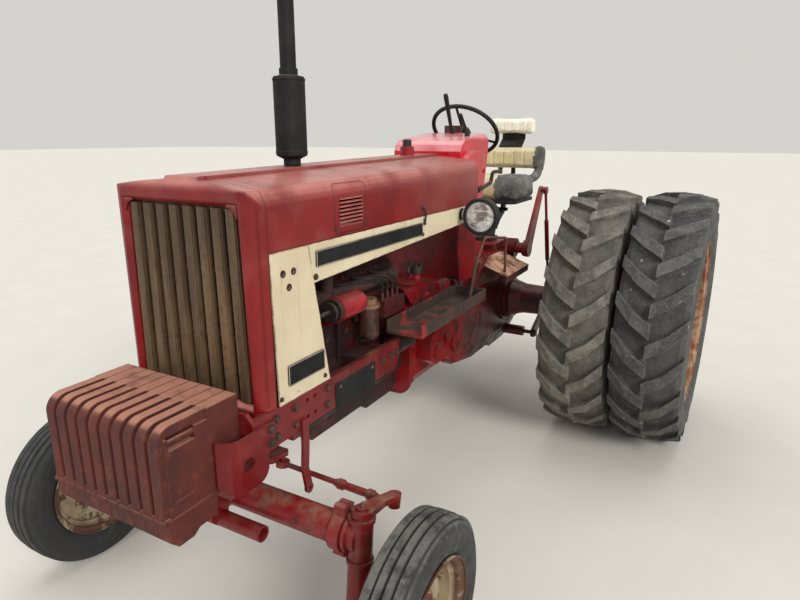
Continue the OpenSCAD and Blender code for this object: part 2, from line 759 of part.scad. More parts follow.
module nose_shell() {
  color(red) difference() {
    union() {
      nose_form();
      side_shape(-strip_x, strip_x) polygon([
        [nose_y0 + 10, hood_z_front - strip_depth], [nose_y0 + nose_top_r, hood_z_front + strip_h],
        [hood_y0, hood_z_front + strip_h], [hood_y0, hood_z_front - strip_depth]
      ]);
    }
    front_shape(nose_y0 + nose_depth, hood_y0 + past) front_outline(
      hood_x - nose_wall, nose_z0 + nose_wall, hood_z_front - nose_wall, hood_r - nose_wall);
    front_shape(nose_y0 - past, hood_y0 + past) grille_hole(0);
    hull() {
      front_shape(nose_y0 - past, nose_y0) grille_hole(lip_w);
      front_shape(nose_y0 + lip_depth - past, nose_y0 + lip_depth) grille_hole(0);
    }
  }
}
module nose_form() {
  intersection() {
    front_shape(nose_y0, hood_y0) front_outline(hood_x, nose_z0, hood_z_front, hood_r);
    plan_shape(nose_z0 - past, hood_z_front + past)
      plan_outline(hood_x, nose_y0, hood_y0 + past, nose_corner_r);
    side_shape(-hood_x - past, hood_x + past) {
      box2(nose_y0, nose_z0 - past, hood_y0 + past, hood_z_front - nose_top_r);
      box2(nose_y0 + nose_top_r, hood_z_front - nose_top_r - past, hood_y0 + past, hood_z_front + past);
      translate([nose_y0 + nose_top_r, hood_z_front - nose_top_r]) circle(r = nose_top_r);
    }
  }
}
slat_y0 = nose_y0 + 11;
slat_t = nose_y0 + nose_depth - slat_y0;
slat_edge = 5;
slat_clear = 6;
frame_w = 12;
frame_t = 8;
foot_strip = 14;
module grille() {
  slot_pitch = 2 / slat_count;
  color(cream) {
    // Each slat leans with the opening, from its foot to its top
    for (i = [0 : slat_count - 1]) {
      u = (i + 0.5) * slot_pitch - 1;
      v = slot_pitch / 2 - slat_gap / 2 / grille_half_top;
      z0 = opening_z0 + slat_clear;
      z1 = opening_z1 - slat_clear;
      for (layer = [[0, slat_edge, slat_edge], [slat_edge, slat_t + past, 0]])
        front_shape(slat_y0 + layer[0], slat_y0 + layer[1]) polygon([
          [(u - v) * opening_half(z0) + layer[2], z0], [(u + v) * opening_half(z0) - layer[2], z0],
          [(u + v) * opening_half(z1) - layer[2], z1], [(u - v) * opening_half(z1) + layer[2], z1]
        ]);
    }
    front_shape(slat_y0 + slat_t, slat_y0 + slat_t + frame_t) difference() {
      grille_hole(frame_w);
      grille_hole(-foot_strip);
    }
    for (z = [0.33, 0.67]) {
      h = along(opening_z0, opening_z1, z);
      box([-opening_half(h) - frame_w, slat_y0 + slat_t, h],
        [opening_half(h) + frame_w, slat_y0 + slat_t + frame_t, h + frame_w]);
    }
  }
}
radiator_y0 = -1550;
radiator_y1 = -1460;
core_x = 276;
core_z1 = 1600;
tank_r = 34;
module radiator() {
  color(black) {
    box([-core_x, radiator_y0 + 12, rail_z1], [core_x, radiator_y1 - 12, core_z1]);
    both_sides() box([core_x - past, radiator_y0, rail_z1], [core_x + 14, radiator_y1, core_z1 + 20]);
    front_shape(radiator_y0, radiator_y1)
      round_rect([-core_x + 20, core_z1 - past], [core_x - 20, core_z1 + 96], tank_r);
    translate([0, (radiator_y0 + radiator_y1) / 2, 0]) z_cyl(30, core_z1 + 90, core_z1 + 112);
  }
}

// Side panels, stripes and hood

panel_t = 6;
panel_y0 = -1546;
panel_tip = 14;
panel_foot_y = -1258;
stripe_split_y = -1362;
grommet_r = 8;
// Grommet holes of a side panel: y and z
grommets = [[-1500, 1440], [-1446, 1440], [-1472, 1390]];
module side_panels() {
  color(cream) both_sides() difference() {
    side_shape(hood_x - panel_t, hood_x) polygon([
      [panel_y0 - panel_tip, hood_z0], [stripe_split_y, hood_z0], [panel_foot_y, rail_z1], [panel_y0, rail_z1]
    ]);
    for (g = grommets) translate([0, g[0], g[1]]) x_cyl(grommet_r, hood_x - panel_t - past, hood_x + past);
  }
}
stripe_foot = [[-1334, 1376], [-483, 1409], [hood_y1, 1432]];
module side_stripes() {
  color(cream) both_sides() side_shape(hood_x - panel_t, hood_x) polygon(concat(
    stripe_foot, [[hood_y1, hood_z0], [stripe_split_y, hood_z0]]
  ));
}
name_plate = [[-1323, 1430], [-510, 1488]];
model_plate = [[-1500, 1045], [-1296, 1120]];
road_plate = [[-1228, 842], [-937, 953]];
module blank_plates() {
  color(black) {
    both_sides() side_shape(hood_x, hood_x + 3) round_rect(name_plate[0], name_plate[1], 6);
    both_sides() side_shape(hood_x, hood_x + 5) round_rect(model_plate[0], model_plate[1], 8);
    side_shape(rail_x, rail_x + 3) round_rect(road_plate[0], road_plate[1], 8);
  }
}
function hood_top(y) = hood_z_front + (hood_z_rear - hood_z_front) * (y - hood_y0) / (hood_y1 - hood_y0);
module hood_solid(y0, y1, inset) {
  hull() for (y = [y0, y1 - past])
    front_shape(y, y + past) front_outline(hood_x - inset, hood_z0 - (inset > 0 ? past : 0),
      hood_top(y) - inset, hood_r - inset, $fn = hull_fn);
}
module hood_piece(y0, y1) {
  difference() {
    union() {
      hood_solid(y0, y1, 0);
      hull() for (y = [y0, y1 - past])
        box([-strip_x, y, hood_top(y) - strip_depth], [strip_x, y + past, hood_top(y) + strip_h]);
    }
    hood_solid(y0 - past, y1 + past, hood_t);
  }
}
louvre_y0 = -1172;
louvre_y1 = -1016;
louvre_z0 = 1557;
louvre_z1 = 1656;
louvre_count = 7;
louvre_h = 7;
stack_hole_r = 38;
module hood_front() {
  color(red) difference() {
    hood_piece(hood_y0, hood_seam_y);
    for (i = [0 : louvre_count - 1]) {
      z = louvre_z0 + i * (louvre_z1 - louvre_z0) / louvre_count;
      box([-hood_x - past, louvre_y0, z], [hood_x + past, louvre_y1, z + louvre_h]);
    }
    translate([0, muffler_y, 0]) z_cyl(stack_hole_r, hood_z_front - hood_r, hood_z_rear + past);
  }
}
filler_y = -63;
filler_r = 37.5;
module hood_rear() {
  color(red) difference() {
    hood_piece(hood_seam_y, hood_y1);
    translate([0, filler_y, 0])
      z_cyl(filler_r + seat_gap, hood_z_front - hood_r, hood_z_rear + strip_h + past);
  }
}

// Engine

crankcase_z0 = 700;
crankcase_z1 = 905;
bore_x = block_x - 22;
pan_x = 130;
pan_z = 590;
cylinders = 6;
timing_t = 34;
timing_y = engine_y0 + timing_t;
crank_z = 785;
crank_pulley_r = 52;
fan_z = 1235;
engine_mount_y = [rail_y1 - 240, rail_y1 - 40];
module engine_block() {
  pitch = (engine_y1 - timing_y) / cylinders;
  color(red) {
    // Crankcase with a flared foot, cylinder walls above it and a rib between each two bores
    front_shape(timing_y, engine_y1) polygon([
      [-block_x + 12, crankcase_z0], [block_x - 12, crankcase_z0], [block_x, crankcase_z0 + 20],
      [block_x, crankcase_z1], [bore_x, crankcase_z1 + 40], [bore_x, deck_z], [-bore_x, deck_z],
      [-bore_x, crankcase_z1 + 40], [-block_x, crankcase_z1], [-block_x, crankcase_z0 + 20]
    ]);
    for (k = [0 : cylinders]) {
      y = min(timing_y + k * pitch, engine_y1 - 16);
      box([-block_x, y, crankcase_z1 - past], [block_x, y + 16, deck_z - 30]);
    }
    side_shape(-pan_x, pan_x) polygon([
      [engine_y0 + 120, crankcase_z0 + past], [engine_y0 + 120, pan_z + 50], [engine_y0 + 150, pan_z + 30],
      [engine_y1 - 330, pan_z + 30], [engine_y1 - 290, pan_z], [engine_y1 - 40, pan_z],
      [engine_y1, pan_z + 40], [engine_y1, crankcase_z0 + past]
    ]);
    // Timing cover with the crankshaft's and the camshaft's bosses
    front_shape(engine_y0, timing_y + past) {
      round_rect([-block_x + 10, crankcase_z0], [block_x - 10, deck_z - 40], 60);
      translate([0, crank_z]) circle(r = 110);
    }
    translate([0, 0, crank_z]) y_cyl(crank_pulley_r, engine_y0 - 32, engine_y0 - 8);
    translate([0, 0, crank_z]) y_cyl(crank_pulley_r - 18, engine_y0 - 32, engine_y0 + past);
    both_sides() side_shape(block_x - past, rail_x - rail_t) polygon([
      [engine_mount_y[0], rail_z0 + 40], [engine_mount_y[0] + 30, rail_z0 + 10],
      [engine_mount_y[1] - 30, rail_z0 + 10], [engine_mount_y[1], rail_z0 + 40],
      [engine_mount_y[1], rail_z1 - 30], [engine_mount_y[0], rail_z1 - 30]
    ]);
  }
}
head_x = 118;
head_z1 = 1290;
cover_x = 78;
module cylinder_head() {
  color(red) {
    front_shape(engine_y0, engine_y1 - 20) polygon([
      [-head_x, deck_z], [head_x, deck_z], [head_x, head_z1 - 26], [head_x - 26, head_z1],
      [-head_x + 26, head_z1], [-head_x, head_z1 - 26]
    ]);
    box([-cover_x - 16, engine_y0 + 44, head_z1 - past], [cover_x + 16, engine_y1 - 44, head_z1 + 12]);
    intersection() {
      front_shape(engine_y0 + 60, engine_y1 - 60)
        round_rect([-cover_x, head_z1 - 30], [cover_x, valve_cover_z], 28);
      side_shape(-cover_x - past, cover_x + past)
        round_rect([engine_y0 + 60, head_z1 - 30], [engine_y1 - 60, valve_cover_z], 26);
    }
    // Thermostat housing and water pump at the front
    translate([0, engine_y0 + 50, 0]) z_cyl(36, head_z1 - past, head_z1 + 60);
    translate([0, 0, fan_z]) y_cyl(58, engine_y0 - 30, engine_y0 + past);
  }
}
manifold_x = [head_x, 176];
manifold_z = 1226;
runner_r = 19;
riser_r = 34;
log_r = 31;
riser_flange_r = 44;
stack_seat_z = 1760;
module manifold() {
  pitch = (engine_y1 - engine_y0 - 140) / (cylinders - 1);
  color(rust) {
    for (k = [0 : cylinders - 1])
      translate([0, engine_y0 + 60 + k * pitch, manifold_z])
        x_cyl(runner_r, manifold_x[0], manifold_x[1] - 8);
    translate([manifold_x[1] - 26, 0, manifold_z])
      y_cyl(log_r, engine_y0 + 40, engine_y0 + 80 + (cylinders - 1) * pitch);
    bent_bar([
      [manifold_x[1] - 26, muffler_y, manifold_z], [manifold_x[1] - 26, muffler_y, valve_cover_z],
      [0, muffler_y, valve_cover_z + 160], [0, muffler_y, stack_seat_z]
    ], log_r - 3);
    translate([0, muffler_y, 0]) z_cyl(riser_flange_r, stack_seat_z - 66, stack_seat_z - 54);
  }
}
fan_blades = 6;
fan_r = 215;
fan_hub_y0 = engine_y0 - 92;
blade_pitch = 24;
module engine_fan() {
  color(black) translate([0, 0, fan_z]) {
    y_cyl(40, fan_hub_y0, engine_y0 - 30);
    y_cyl(62, engine_y0 - 50, engine_y0 - 34);
    for (k = [0 : fan_blades - 1])
      rotate([0, k * 360 / fan_blades, 0]) translate([0, fan_hub_y0 + 18, 30])
        rotate([0, 0, blade_pitch]) translate([0, 3, 0]) front_shape(-3, 0)
          polygon([[-22, 0], [22, 0], [44, fan_r - 50], [36, fan_r - 30], [-40, fan_r - 30]]);
  }
}
// Units on the left of the block: generator, oil filter, starter, distributor and pump
generator = [235, -1021, 1203];
generator_r = 52;
generator_len = 190;
generator_feet = [-1092, -1010];
filter_place = [224, -825];
filter_r = 46;
filter_z = [1006, 1188];
starter = [222, -525, 905];
starter_r = 52;
distributor = [150, -238];
distributor_r = 42;
distributor_z = 1150;
pump = [205, -110, 1072];
pump_r = 34;
pump_len = 124;
// Left shoulder of the clutch housing: its lower and its upper edge, as x and z
case_shoulder = [[200, 1000], [130, 1080]];
bracket_gap = [seat_gap, seat_gap];
module side_units() {
  color(red) {
    translate(generator) {
      y_cyl(generator_r, -generator_len / 2 + 22, generator_len / 2 - 16);
      y_cyl(generator_r - 5, -generator_len / 2, generator_len / 2);
      y_cyl(40, -generator_len / 2 - 26, -generator_len / 2 - 10);
      y_cyl(12, -generator_len / 2 - 34, -generator_len / 2 + past);
    }
    for (y = generator_feet) front_shape(y, y + 18) polygon([
      [bore_x, 1105], [generator[0] + 20, generator[2] - 50], [generator[0] - 20, generator[2] - 44],
      [bore_x, 1150]
    ]);
    translate(concat(filter_place, 0)) {
      z_cyl(filter_r, filter_z[0] + 14, filter_z[1] - 26);
      z_cyl(filter_r - 10, filter_z[0], filter_z[1]);
      z_cyl(filter_r + 4, filter_z[1] - 40, filter_z[1] - 24);
    }
    box([block_x, filter_place[1] - 30, 1080], [filter_place[0] - 30, filter_place[1] + 30, 1150]);
    translate(starter) {
      y_cyl(starter_r, -96, 74);
      y_cyl(starter_r - 8, -106, 100);
      translate([10, 0, starter_r + 18]) y_cyl(24, -60, 40);
    }
    box([block_x, starter[1] - 40, starter[2] - 30], [starter[0] - 20, starter[1] + 40, starter[2] + 30]);
    // Injection pump with a row of outlets
    box([block_x, -690, 1060], [block_x + 62, -500, 1140]);
    for (k = [0 : 3]) translate([block_x + 36, -670 + k * 46, 0]) z_cyl(9, 1140 - past, 1172);
    translate(concat(distributor, 0)) {
      z_cyl(distributor_r - 16, distributor_z, distributor_z + 34);
      z_cyl(distributor_r, distributor_z + 30, distributor_z + 66);
      for (k = [0 : cylinders - 1]) rotate([0, 0, k * 360 / cylinders])
        translate([distributor_r - 13, 0, 0]) z_cyl(7, distributor_z + 65, distributor_z + 86);
    }
    translate(pump) y_cyl(pump_r, 0, pump_len);
    front_shape(pump[1] + 50, pump[1] + 80) polygon([
      case_shoulder[0] + bracket_gap, along(case_shoulder[0], case_shoulder[1], 0.5) + bracket_gap,
      [pump[0] - 19, pump[2] - 10], [pump[0] + 17, pump[2] - 28]
    ]);
  }
}

// Stack and filler

shoulder = 16;
stack_r = 31;
collar_r = 36;
muffler_z = [1800, 2094];
module muffler_stack() {
  color("#3a3330") translate([0, muffler_y, 0]) {
    rotate_extrude() polygon([
      [0, stack_seat_z], [riser_r, stack_seat_z], [riser_r, muffler_z[0] - shoulder],
      [muffler_r - 3, muffler_z[0] - 4], [muffler_r, muffler_z[0]], [muffler_r, muffler_z[1] - 6],
      [muffler_r - 3, muffler_z[1]], [collar_r + 6, muffler_z[1] + 4], [collar_r, muffler_z[1] + 6],
      [collar_r, muffler_z[1] + 30], [stack_r, muffler_z[1] + 30], [stack_r, stack_top_z],
      [stack_r - 3, stack_top_z], [stack_r - 3, muffler_z[1] + 60], [0, muffler_z[1] + 60]
    ]);
    for (z = [muffler_z[0] + 8, muffler_z[1] - 14]) z_cyl(muffler_r + 2, z, z + 6);
  }
}
filler_top = 1816;
cap_r = 24;
module fuel_filler() {
  color(red) translate([0, filler_y, 0]) {
    z_cyl(filler_r, tank_z1, filler_top);
    z_cyl(filler_r - 6, filler_top - past, filler_top + 4);
    z_cyl(cap_r, filler_top + 4 - past, filler_top + 36);
    z_cyl(cap_r - 5, filler_top + 35, filler_top + 40);
  }
}

// Driveline

case_x = 230;
console_z0 = 1070;
clutch_y1 = 130;
housing_top = case_shoulder[1][1];
valve_side = [200, 292];
valve_y = [-330, 40];
valve_z = [668, 905];
module clutch_housing() {
  color(red) {
    front_shape(engine_y1, clutch_y1) polygon([
      [-200, 640], [-150, 570], [150, 570], [200, 640], case_shoulder[0], case_shoulder[1],
      [-case_shoulder[1][0], case_shoulder[1][1]], [-case_shoulder[0][0], case_shoulder[0][1]]
    ]);
    for (y = [engine_y1, clutch_y1 - 20]) front_shape(y, y + 20)
      round_rect([-215, 560], [215, housing_top - 30], 70);
    for (y = tray_bearers) side_shape(190, tray_x1 - 30) polygon([
      [y, tray_z0 - 34], [y + 30, tray_z0 - 34], [y + 30, tray_z0], [y, tray_z0]
    ]);
    // Sloped cover on the left shoulder
    side_shape(70, 214) polygon([
      [-410, 1035], [-400, 1150], [-350, 1166], [-120, 1098], [-112, 1010], [-240, 990]
    ]);
    translate(concat(distributor, 0)) z_cyl(distributor_r - 14, distributor_z - 60, distributor_z);
    // Hydraulic pump and its valves on the left side
    side_shape(valve_side[0] - past, valve_side[1]) polygon([
      [valve_y[0], valve_z[0] + 70], [valve_y[0] + 60, valve_z[0] + 30], [valve_y[0] + 210, valve_z[0] + 30],
      [valve_y[0] + 240, valve_z[0]], [valve_y[1] - 50, valve_z[0]], [valve_y[1], valve_z[0] + 50],
      [valve_y[1], valve_z[1] - 30], [valve_y[1] - 40, valve_z[1]], [valve_y[0] + 90, valve_z[1]],
      [valve_y[0], valve_z[1] - 60]
    ]);
    for (c = [[-255, 780, 48], [-150, 830, 34], [-40, 760, 52]])
      translate([0, c[0], c[1]]) x_cyl(c[2], valve_side[1] - past, valve_side[1] + 22);
    translate([valve_side[1] - 30, valve_y[1] - 60, 0]) z_cyl(20, valve_z[1] - past, valve_z[1] + 60);
  }
}
transmission_y1 = 1200;
lift_top_z = 1160;
pto_z = 640;
pto_r = 17.5;
pto_len = 90;
pto_journal_r = 24;
pto_boss = 14;
shaft_r = 38;
module transmission_case() {
  color(red) {
    difference() {
      union() {
        intersection() {
          side_shape(-case_x, case_x) polygon([
            [clutch_y1, 560], [480, 480], [740, 480], [860, 430], [1150, 430], [transmission_y1, 520],
            [transmission_y1, 980], [1160, lift_top_z], [900, lift_top_z], [850, console_z0],
            [clutch_y1, console_z0]
          ]);
          front_shape(clutch_y1, transmission_y1) polygon([
            [-case_x, 560], [-case_x + 70, 400], [case_x - 70, 400], [case_x, 560], [case_x, 1040],
            [case_x - 60, 1100], [case_x - 60, lift_top_z], [-case_x + 60, lift_top_z],
            [-case_x + 60, 1100], [-case_x, 1040]
          ]);
        }
        both_sides() translate([0, lift_y, lift_z]) x_cyl(shaft_r + 28, case_x - 70, case_x + 20);
        translate([0, transmission_y1, pto_z]) y_cyl(80, -60, pto_boss);
        both_sides() translate([0, rear_axle_y, rear_tyre_r]) x_cyl(170, case_x - 40, case_x + 18);
        both_sides() translate([0, link_pivot_y, link_pivot_z])
          x_cyl(link_pin_r + 22, case_x - 60, link_x - 60);
      }
      translate([0, transmission_y1, pto_z]) y_cyl(pto_journal_r + run_gap, -110, pto_boss + past);
      translate([0, lift_y, lift_z]) x_cyl(shaft_r + run_gap, -case_x - 20 - past, case_x + 20 + past);
    }
    translate([0, link_pivot_y, link_pivot_z])
      both_sides() x_cyl(link_pin_r, link_x - 60 - past, link_x + link_t + 8);
    translate([0, link_pivot_y, link_pivot_z])
      both_sides() x_cyl(link_pin_r + 10, link_x + link_t + 5, link_x + link_t + 13);
  }
}
housing_flange = 18;
module axle_housings() {
  color(red) translate([0, rear_axle_y, rear_tyre_r]) both_sides() difference() {
    rotate([0, 90, 0]) rotate_extrude() polygon([
      [0, case_x + housing_flange], [150, case_x + housing_flange], [150, case_x + 44], [128, case_x + 60],
      [104, case_x + 140], [98, axle_housing_x - 90], [112, axle_housing_x - 60],
      [122, axle_housing_x - 34], [122, axle_housing_x], [0, axle_housing_x]
    ]);
    x_cyl(rear_shaft_r + run_gap, axle_housing_x - shaft_entry - 10, axle_housing_x + past);
  }
}

// Dash support and fuel tank

dash_y = [100, 112];
dash_side_x = 300;
dash_side_t = 8;
dash_side_y = [-34, 212];
dash_side_z0 = 1092;
tank_z0 = 1440;
tank_z1 = 1700;
tank_y0 = -420;
tank_x = 286;
module dash_support() {
  color(red) {
    box([-dash_side_x, dash_y[0], 1080], [dash_side_x, dash_y[1], hood_z0]);
    box([-180, dash_y[0], hood_z0 - past], [180, dash_y[1], tank_z1]);
    both_sides() side_shape(dash_side_x - dash_side_t, dash_side_x) polygon([
      [dash_side_y[0] + 40, dash_side_z0], [dash_side_y[1], dash_side_z0], [dash_side_y[1], 1500],
      [dash_side_y[0], 1500], [dash_side_y[0], 1300]
    ]);
    box([-110, dash_y[1], 1080], [110, 200, 1200]);
  }
}
module fuel_tank() {
  color(black) intersection() {
    front_shape(tank_y0, dash_y[0]) round_rect([-tank_x, tank_z0], [tank_x, tank_z1], 50);
    side_shape(-tank_x, tank_x) round_rect([tank_y0, tank_z0], [dash_y[0], tank_z1], 24);
  }
}

// Console and steering

console_x = 210;
console_r = 60;
console_foot_y = [200, 430];
console_cheek = 34;
cowl_z1 = 1900;
lever_r = 16;
// Levers on the console: x, y, height of the top
levers = [[0, 520, 2110], [150, 400, 1990]];
module console() {
  color("#a3262a") difference() {
    union() {
      intersection() {
        side_shape(-console_x, console_x) polygon([
          [hood_y1, 1500], [hood_y1, 1790], [192, 1826], [226, 1848], [350, 1868], [540, 1890],
          [578, 1886], [592, 1862], [592, 1800], [560, 1640], [520, 1500]
        ]);
        front_shape(hood_y1 - past, 700) front_outline(console_x, 1490, cowl_z1, console_r);
      }
      front_shape(console_foot_y[0], console_foot_y[1])
        polygon([[-150, console_z0], [150, console_z0], [180, 1501], [-180, 1501]]);
      both_sides() side_shape(console_x - past, console_x + console_cheek) polygon([
        [hood_y1 + 6, 1540], [hood_y1 + 6, 1700], [hood_y1 + 40, 1758], [hood_y1 + 110, 1790],
        [hood_y1 + 210, 1790], [hood_y1 + 250, 1740], [hood_y1 + 250, 1540]
      ]);
      box([-70, 556, 1870], [50, 562, 1936]);
    }
    column_frame() z_cyl(column_r + seat_gap, -column_len - seat_gap, 0);
    for (l = levers) translate([l[0], l[1], 0]) z_cyl(lever_r + seat_gap, 1840, cowl_z1 + past);
  }
}
column_len = 240;
column_r = 30;
wheel_shaft_r = 12;
column_top = 50;
shaft_bore_depth = 110;
module column_frame() {
  translate([0, steering_wheel_y, steering_wheel_z]) rotate([-column_lean, 0, 0]) children();
}
module steering_column() {
  color(black) column_frame() difference() {
    z_cyl(column_r, -column_len, -column_top);
    z_cyl(wheel_shaft_r + run_gap, -shaft_bore_depth, -column_top + past);
  }
}
ring_r = 13;
hub_top_z = 18;
spoke_angles = [30, 150, 270];
spoke_drop = 22;
module steering_wheel() {
  color(black) column_frame() {
    rotate_extrude($fn = 96) translate([steering_wheel_r, 0]) circle(r = ring_r);
    rotate_extrude() polygon([
      [0, -44], [30, -44], [46, -30], [48, -18], [34, 2], [26, hub_top_z - 4], [20, hub_top_z], [0, hub_top_z]
    ]);
    z_cyl(wheel_shaft_r, -shaft_bore_depth + 10, -40);
    for (a = spoke_angles) rotate([0, 0, a])
      bar([34, 0, -spoke_drop], [steering_wheel_r, 0, 0], 8);
  }
}

// Lamps, tray, frame, platforms

lamp_x = 450;
lamp_y = -110;
lamp_z = 1477;
lamp_r = 94;
lens_r = lamp_r - 14.3;
lamp_arm_r = 10;
module headlamps() {
  color(black) both_sides() {
    translate([lamp_x, lamp_y, lamp_z]) rotate([-90, 0, 0]) rotate_extrude($fn = 96) polygon([
      [0, 14], [lens_r + seat_gap, 14], [lens_r + seat_gap, 2], [lamp_r - 8, 0], [lamp_r - 2, 3], [lamp_r, 9],
      [lamp_r, 40], [lamp_r - 6, 52], [lamp_r - 20, 76], [lamp_r - 40, 98], [lamp_r - 62, 110], [0, 112]
    ]);
    translate([0, lamp_y + 60, lamp_z]) x_cyl(lamp_arm_r, hood_x, lamp_x - lamp_r + 30);
    translate([0, lamp_y + 60, lamp_z]) x_cyl(30, hood_x, hood_x + 8);
  }
}
module lamp_lenses() {
  color("white") both_sides() translate([lamp_x, lamp_y, lamp_z]) rotate([-90, 0, 0])
    rotate_extrude($fn = 96) polygon([
      [0, 14], [lens_r, 14], [lens_r, 3], [lens_r * 0.8, -2], [lens_r * 0.5, -6], [0, -8]
    ]);
}
tray_x0 = 280;
tray_x1 = 462;
tray_y0 = -770;
tray_y1 = -15;
tray_z0 = 1020;
tray_t = 5;
tray_h = 60;
tray_lip = 14;
tray_bearers = [-330, -104];
module battery_tray() {
  color(rust) difference() {
    box([tray_x0, tray_y0, tray_z0], [tray_x1, tray_y1, tray_z0 + tray_h]);
    box([tray_x0 + tray_t, tray_y0 + tray_t, tray_z0 + tray_t],
      [tray_x1 - tray_t, tray_y1 - tray_t, tray_z0 + tray_h + past]);
    box([tray_x0 - past, tray_y0 - past, tray_z0 + tray_lip],
      [tray_x1 - tray_t, tray_y0 + tray_t + past, tray_z0 + tray_h + past]);
  }
}
// Foot plates lean out from the gearbox
plate_in = [238, 1127];
plate_out = [430, 1056];
plate_y = [405, 830];
plate_sheet = 6;
plate_lean = atan2(plate_in[1] - plate_out[1], plate_out[0] - plate_in[0]);
plate_slope = (plate_out[1] - plate_in[1]) / (plate_out[0] - plate_in[0]);
function plate_height(x) =
  plate_in[1] + plate_slope * (x - plate_in[0]) + plate_sheet / 2 / cos(plate_lean);
frame_rod = 8;
frame_x = 400;
// Stay beside the console: y and z of its bends
stay_points = [
  [-90, tray_z0 + tray_t + seat_gap + frame_rod * 0.35], [-30, 1190], [86, 1322], [116, 1334], [430, 1289],
  [452, 1266], [460, plate_height(frame_x) + seat_gap + frame_rod * tan(plate_lean)]
];
module stay_frame() {
  color(rust) bent_bar([for (p = stay_points) concat(frame_x, p)], frame_rod);
}
module platforms() {
  color("#9a7350") both_sides() {
    front_shape(plate_y[0], plate_y[1]) polygon([
      plate_in + [0, -plate_sheet / 2], plate_out + [0, -plate_sheet / 2],
      plate_out + [-4, -40], plate_out + [2, -40],
      plate_out + [6, plate_sheet / 2 - 1], plate_out + [0, plate_sheet / 2], plate_in + [0, plate_sheet / 2]
    ]);
    for (y = [plate_y[0] + 60, plate_y[1] - 90]) front_shape(y, y + 30) polygon([
      [case_x, 960], [case_x, 1036],
      plate_in + [-8, -plate_sheet / 2 - 20], plate_in + [-4, -plate_sheet / 2 + 1],
      along(plate_in, plate_out, 0.8) + [0, -plate_sheet / 2 + 1],
      along(plate_in, plate_out, 0.8) + [0, -plate_sheet / 2 - 14]
    ]);
  }
}
pedal_pivot = [190, 985];
pedal_pad = [452, 1212];
pedal_x = 300;
module pedals() {
  color(red) both_sides() {
    translate([0, pedal_pivot[0], pedal_pivot[1]]) x_cyl(20, case_x, pedal_x + 16);
    side_shape(pedal_x - 8, pedal_x + 8) polygon([
      pedal_pivot + [-16, 12], pedal_pivot + [16, -12], [300, 1090], [420, 1170],
      [448, 1200], [440, 1216], [286, 1112]
    ]);
    translate([pedal_x, pedal_pad[0], pedal_pad[1]]) rotate([-40, 0, 0])
      box([-42, -44, -6], [42, 36, 4]);
  }
}

// Seat

seat_pan_z = 1438;
back_y = 1460;
back_t = 88;
upper_y = 1612;
upper_t = 74;
upper_z = [1885, 2010];
upper_x = 180;
strut_x = 52;
strut_t = 14;
module seat_frame() {
  back_z1 = back_y + back_t + seat_gap;
  head_y = upper_y + upper_t + seat_gap;
  color(black) {
    // Suspension arms and the pan
    box([-110, 960, lift_top_z], [110, 1110, lift_top_z + 26]);
    both_sides() side_shape(70, 90) polygon([
      [965, lift_top_z + 20], [1020, lift_top_z + 20], [1300, 1330], [1330, 1400], [1290, seat_pan_z - 20],
      [1240, seat_pan_z - 20], [1262, 1380], [1250, 1350], [990, 1210]
    ]);
    both_sides() side_shape(70, 90) polygon([
      [1060, lift_top_z + 20], [1106, lift_top_z + 20], [1130, 1240], [1100, seat_pan_z - 20],
      [1060, seat_pan_z - 20], [1086, 1250]
    ]);
    translate([0, 1296, 1352]) x_cyl(13, -110, 110);
    translate([0, 1093, 1246]) x_cyl(13, -110, 110);
    bar([0, 1296, 1352], [0, 1090, lift_top_z + 20], 16);
    plan_shape(seat_pan_z - 24, seat_pan_z) plan_outline(238, seat_y - 232, seat_y + 190, 60);
    both_sides() side_shape(strut_x - strut_t, strut_x + strut_t) polygon([
      [seat_y + 120, seat_pan_z - past], [seat_y + 190, seat_pan_z - past], [back_z1 + 22, 1600],
      [back_z1 + 22, 1730], [head_y + 14, 1845], [head_y + 14, 1990], [head_y, 1990], [head_y, 1858],
      [back_z1, 1748], [back_z1, 1606], [seat_y + 160, seat_pan_z + 24]
    ]);
    // Sheet behind the lower back, bent up behind the upper one
    side_shape(-92, 92) polygon([
      [back_z1, 1640], [back_z1, 1748], [head_y, 1858], [head_y, 1998],
      [head_y + 6, 1998], [head_y + 6, 1854], [back_z1 + 6, 1744], [back_z1 + 6, 1640]
    ]);
  }
}
module seat_cushion() {
  color(cream) intersection() {
    plan_shape(seat_pan_z + seat_gap, seat_z) plan_outline(seat_x, seat_y - 240, back_y - 30, 70);
    side_shape(-seat_x, seat_x) round_rect([seat_y - 240, seat_pan_z + seat_gap], [back_y - 30, seat_z], 44);
  }
}
module seat_back_lower() {
  color(cream) front_shape(back_y, back_y + back_t)
    round_rect([-seat_x - 30, seat_z + 26], [seat_x + 30, 1806], 40);
}
module seat_back_upper() {
  color(cream) front_shape(upper_y, upper_y + upper_t)
    round_rect([-upper_x, upper_z[0]], [upper_x, upper_z[1]], 26);
}

hand_rod_r = 7;
hand_x = console_x + console_cheek + seat_gap + hand_rod_r;
// Hand lever beside the console: y and z of its bends
hand_lever = [[372, 1570], [540, 1598], [556, 1612], [572, 1648], [586, 1660], [708, 1662]];
module control_levers() {
  color(black) {
    for (l = levers) {
      translate([l[0], l[1], 0]) z_cyl(lever_r, 1840, 1900);
      bar([l[0], l[1], 1890], [l[0], l[1] - 110, l[2]], 8);
    }
    bent_bar([for (p = hand_lever) concat(hand_x, p)], hand_rod_r);
    translate([0, hand_lever[0][0], hand_lever[0][1]])
      x_cyl(18, console_x + console_cheek + seat_gap, hand_x + 2);
  }
}

// Drawbar, power take-off and hitch

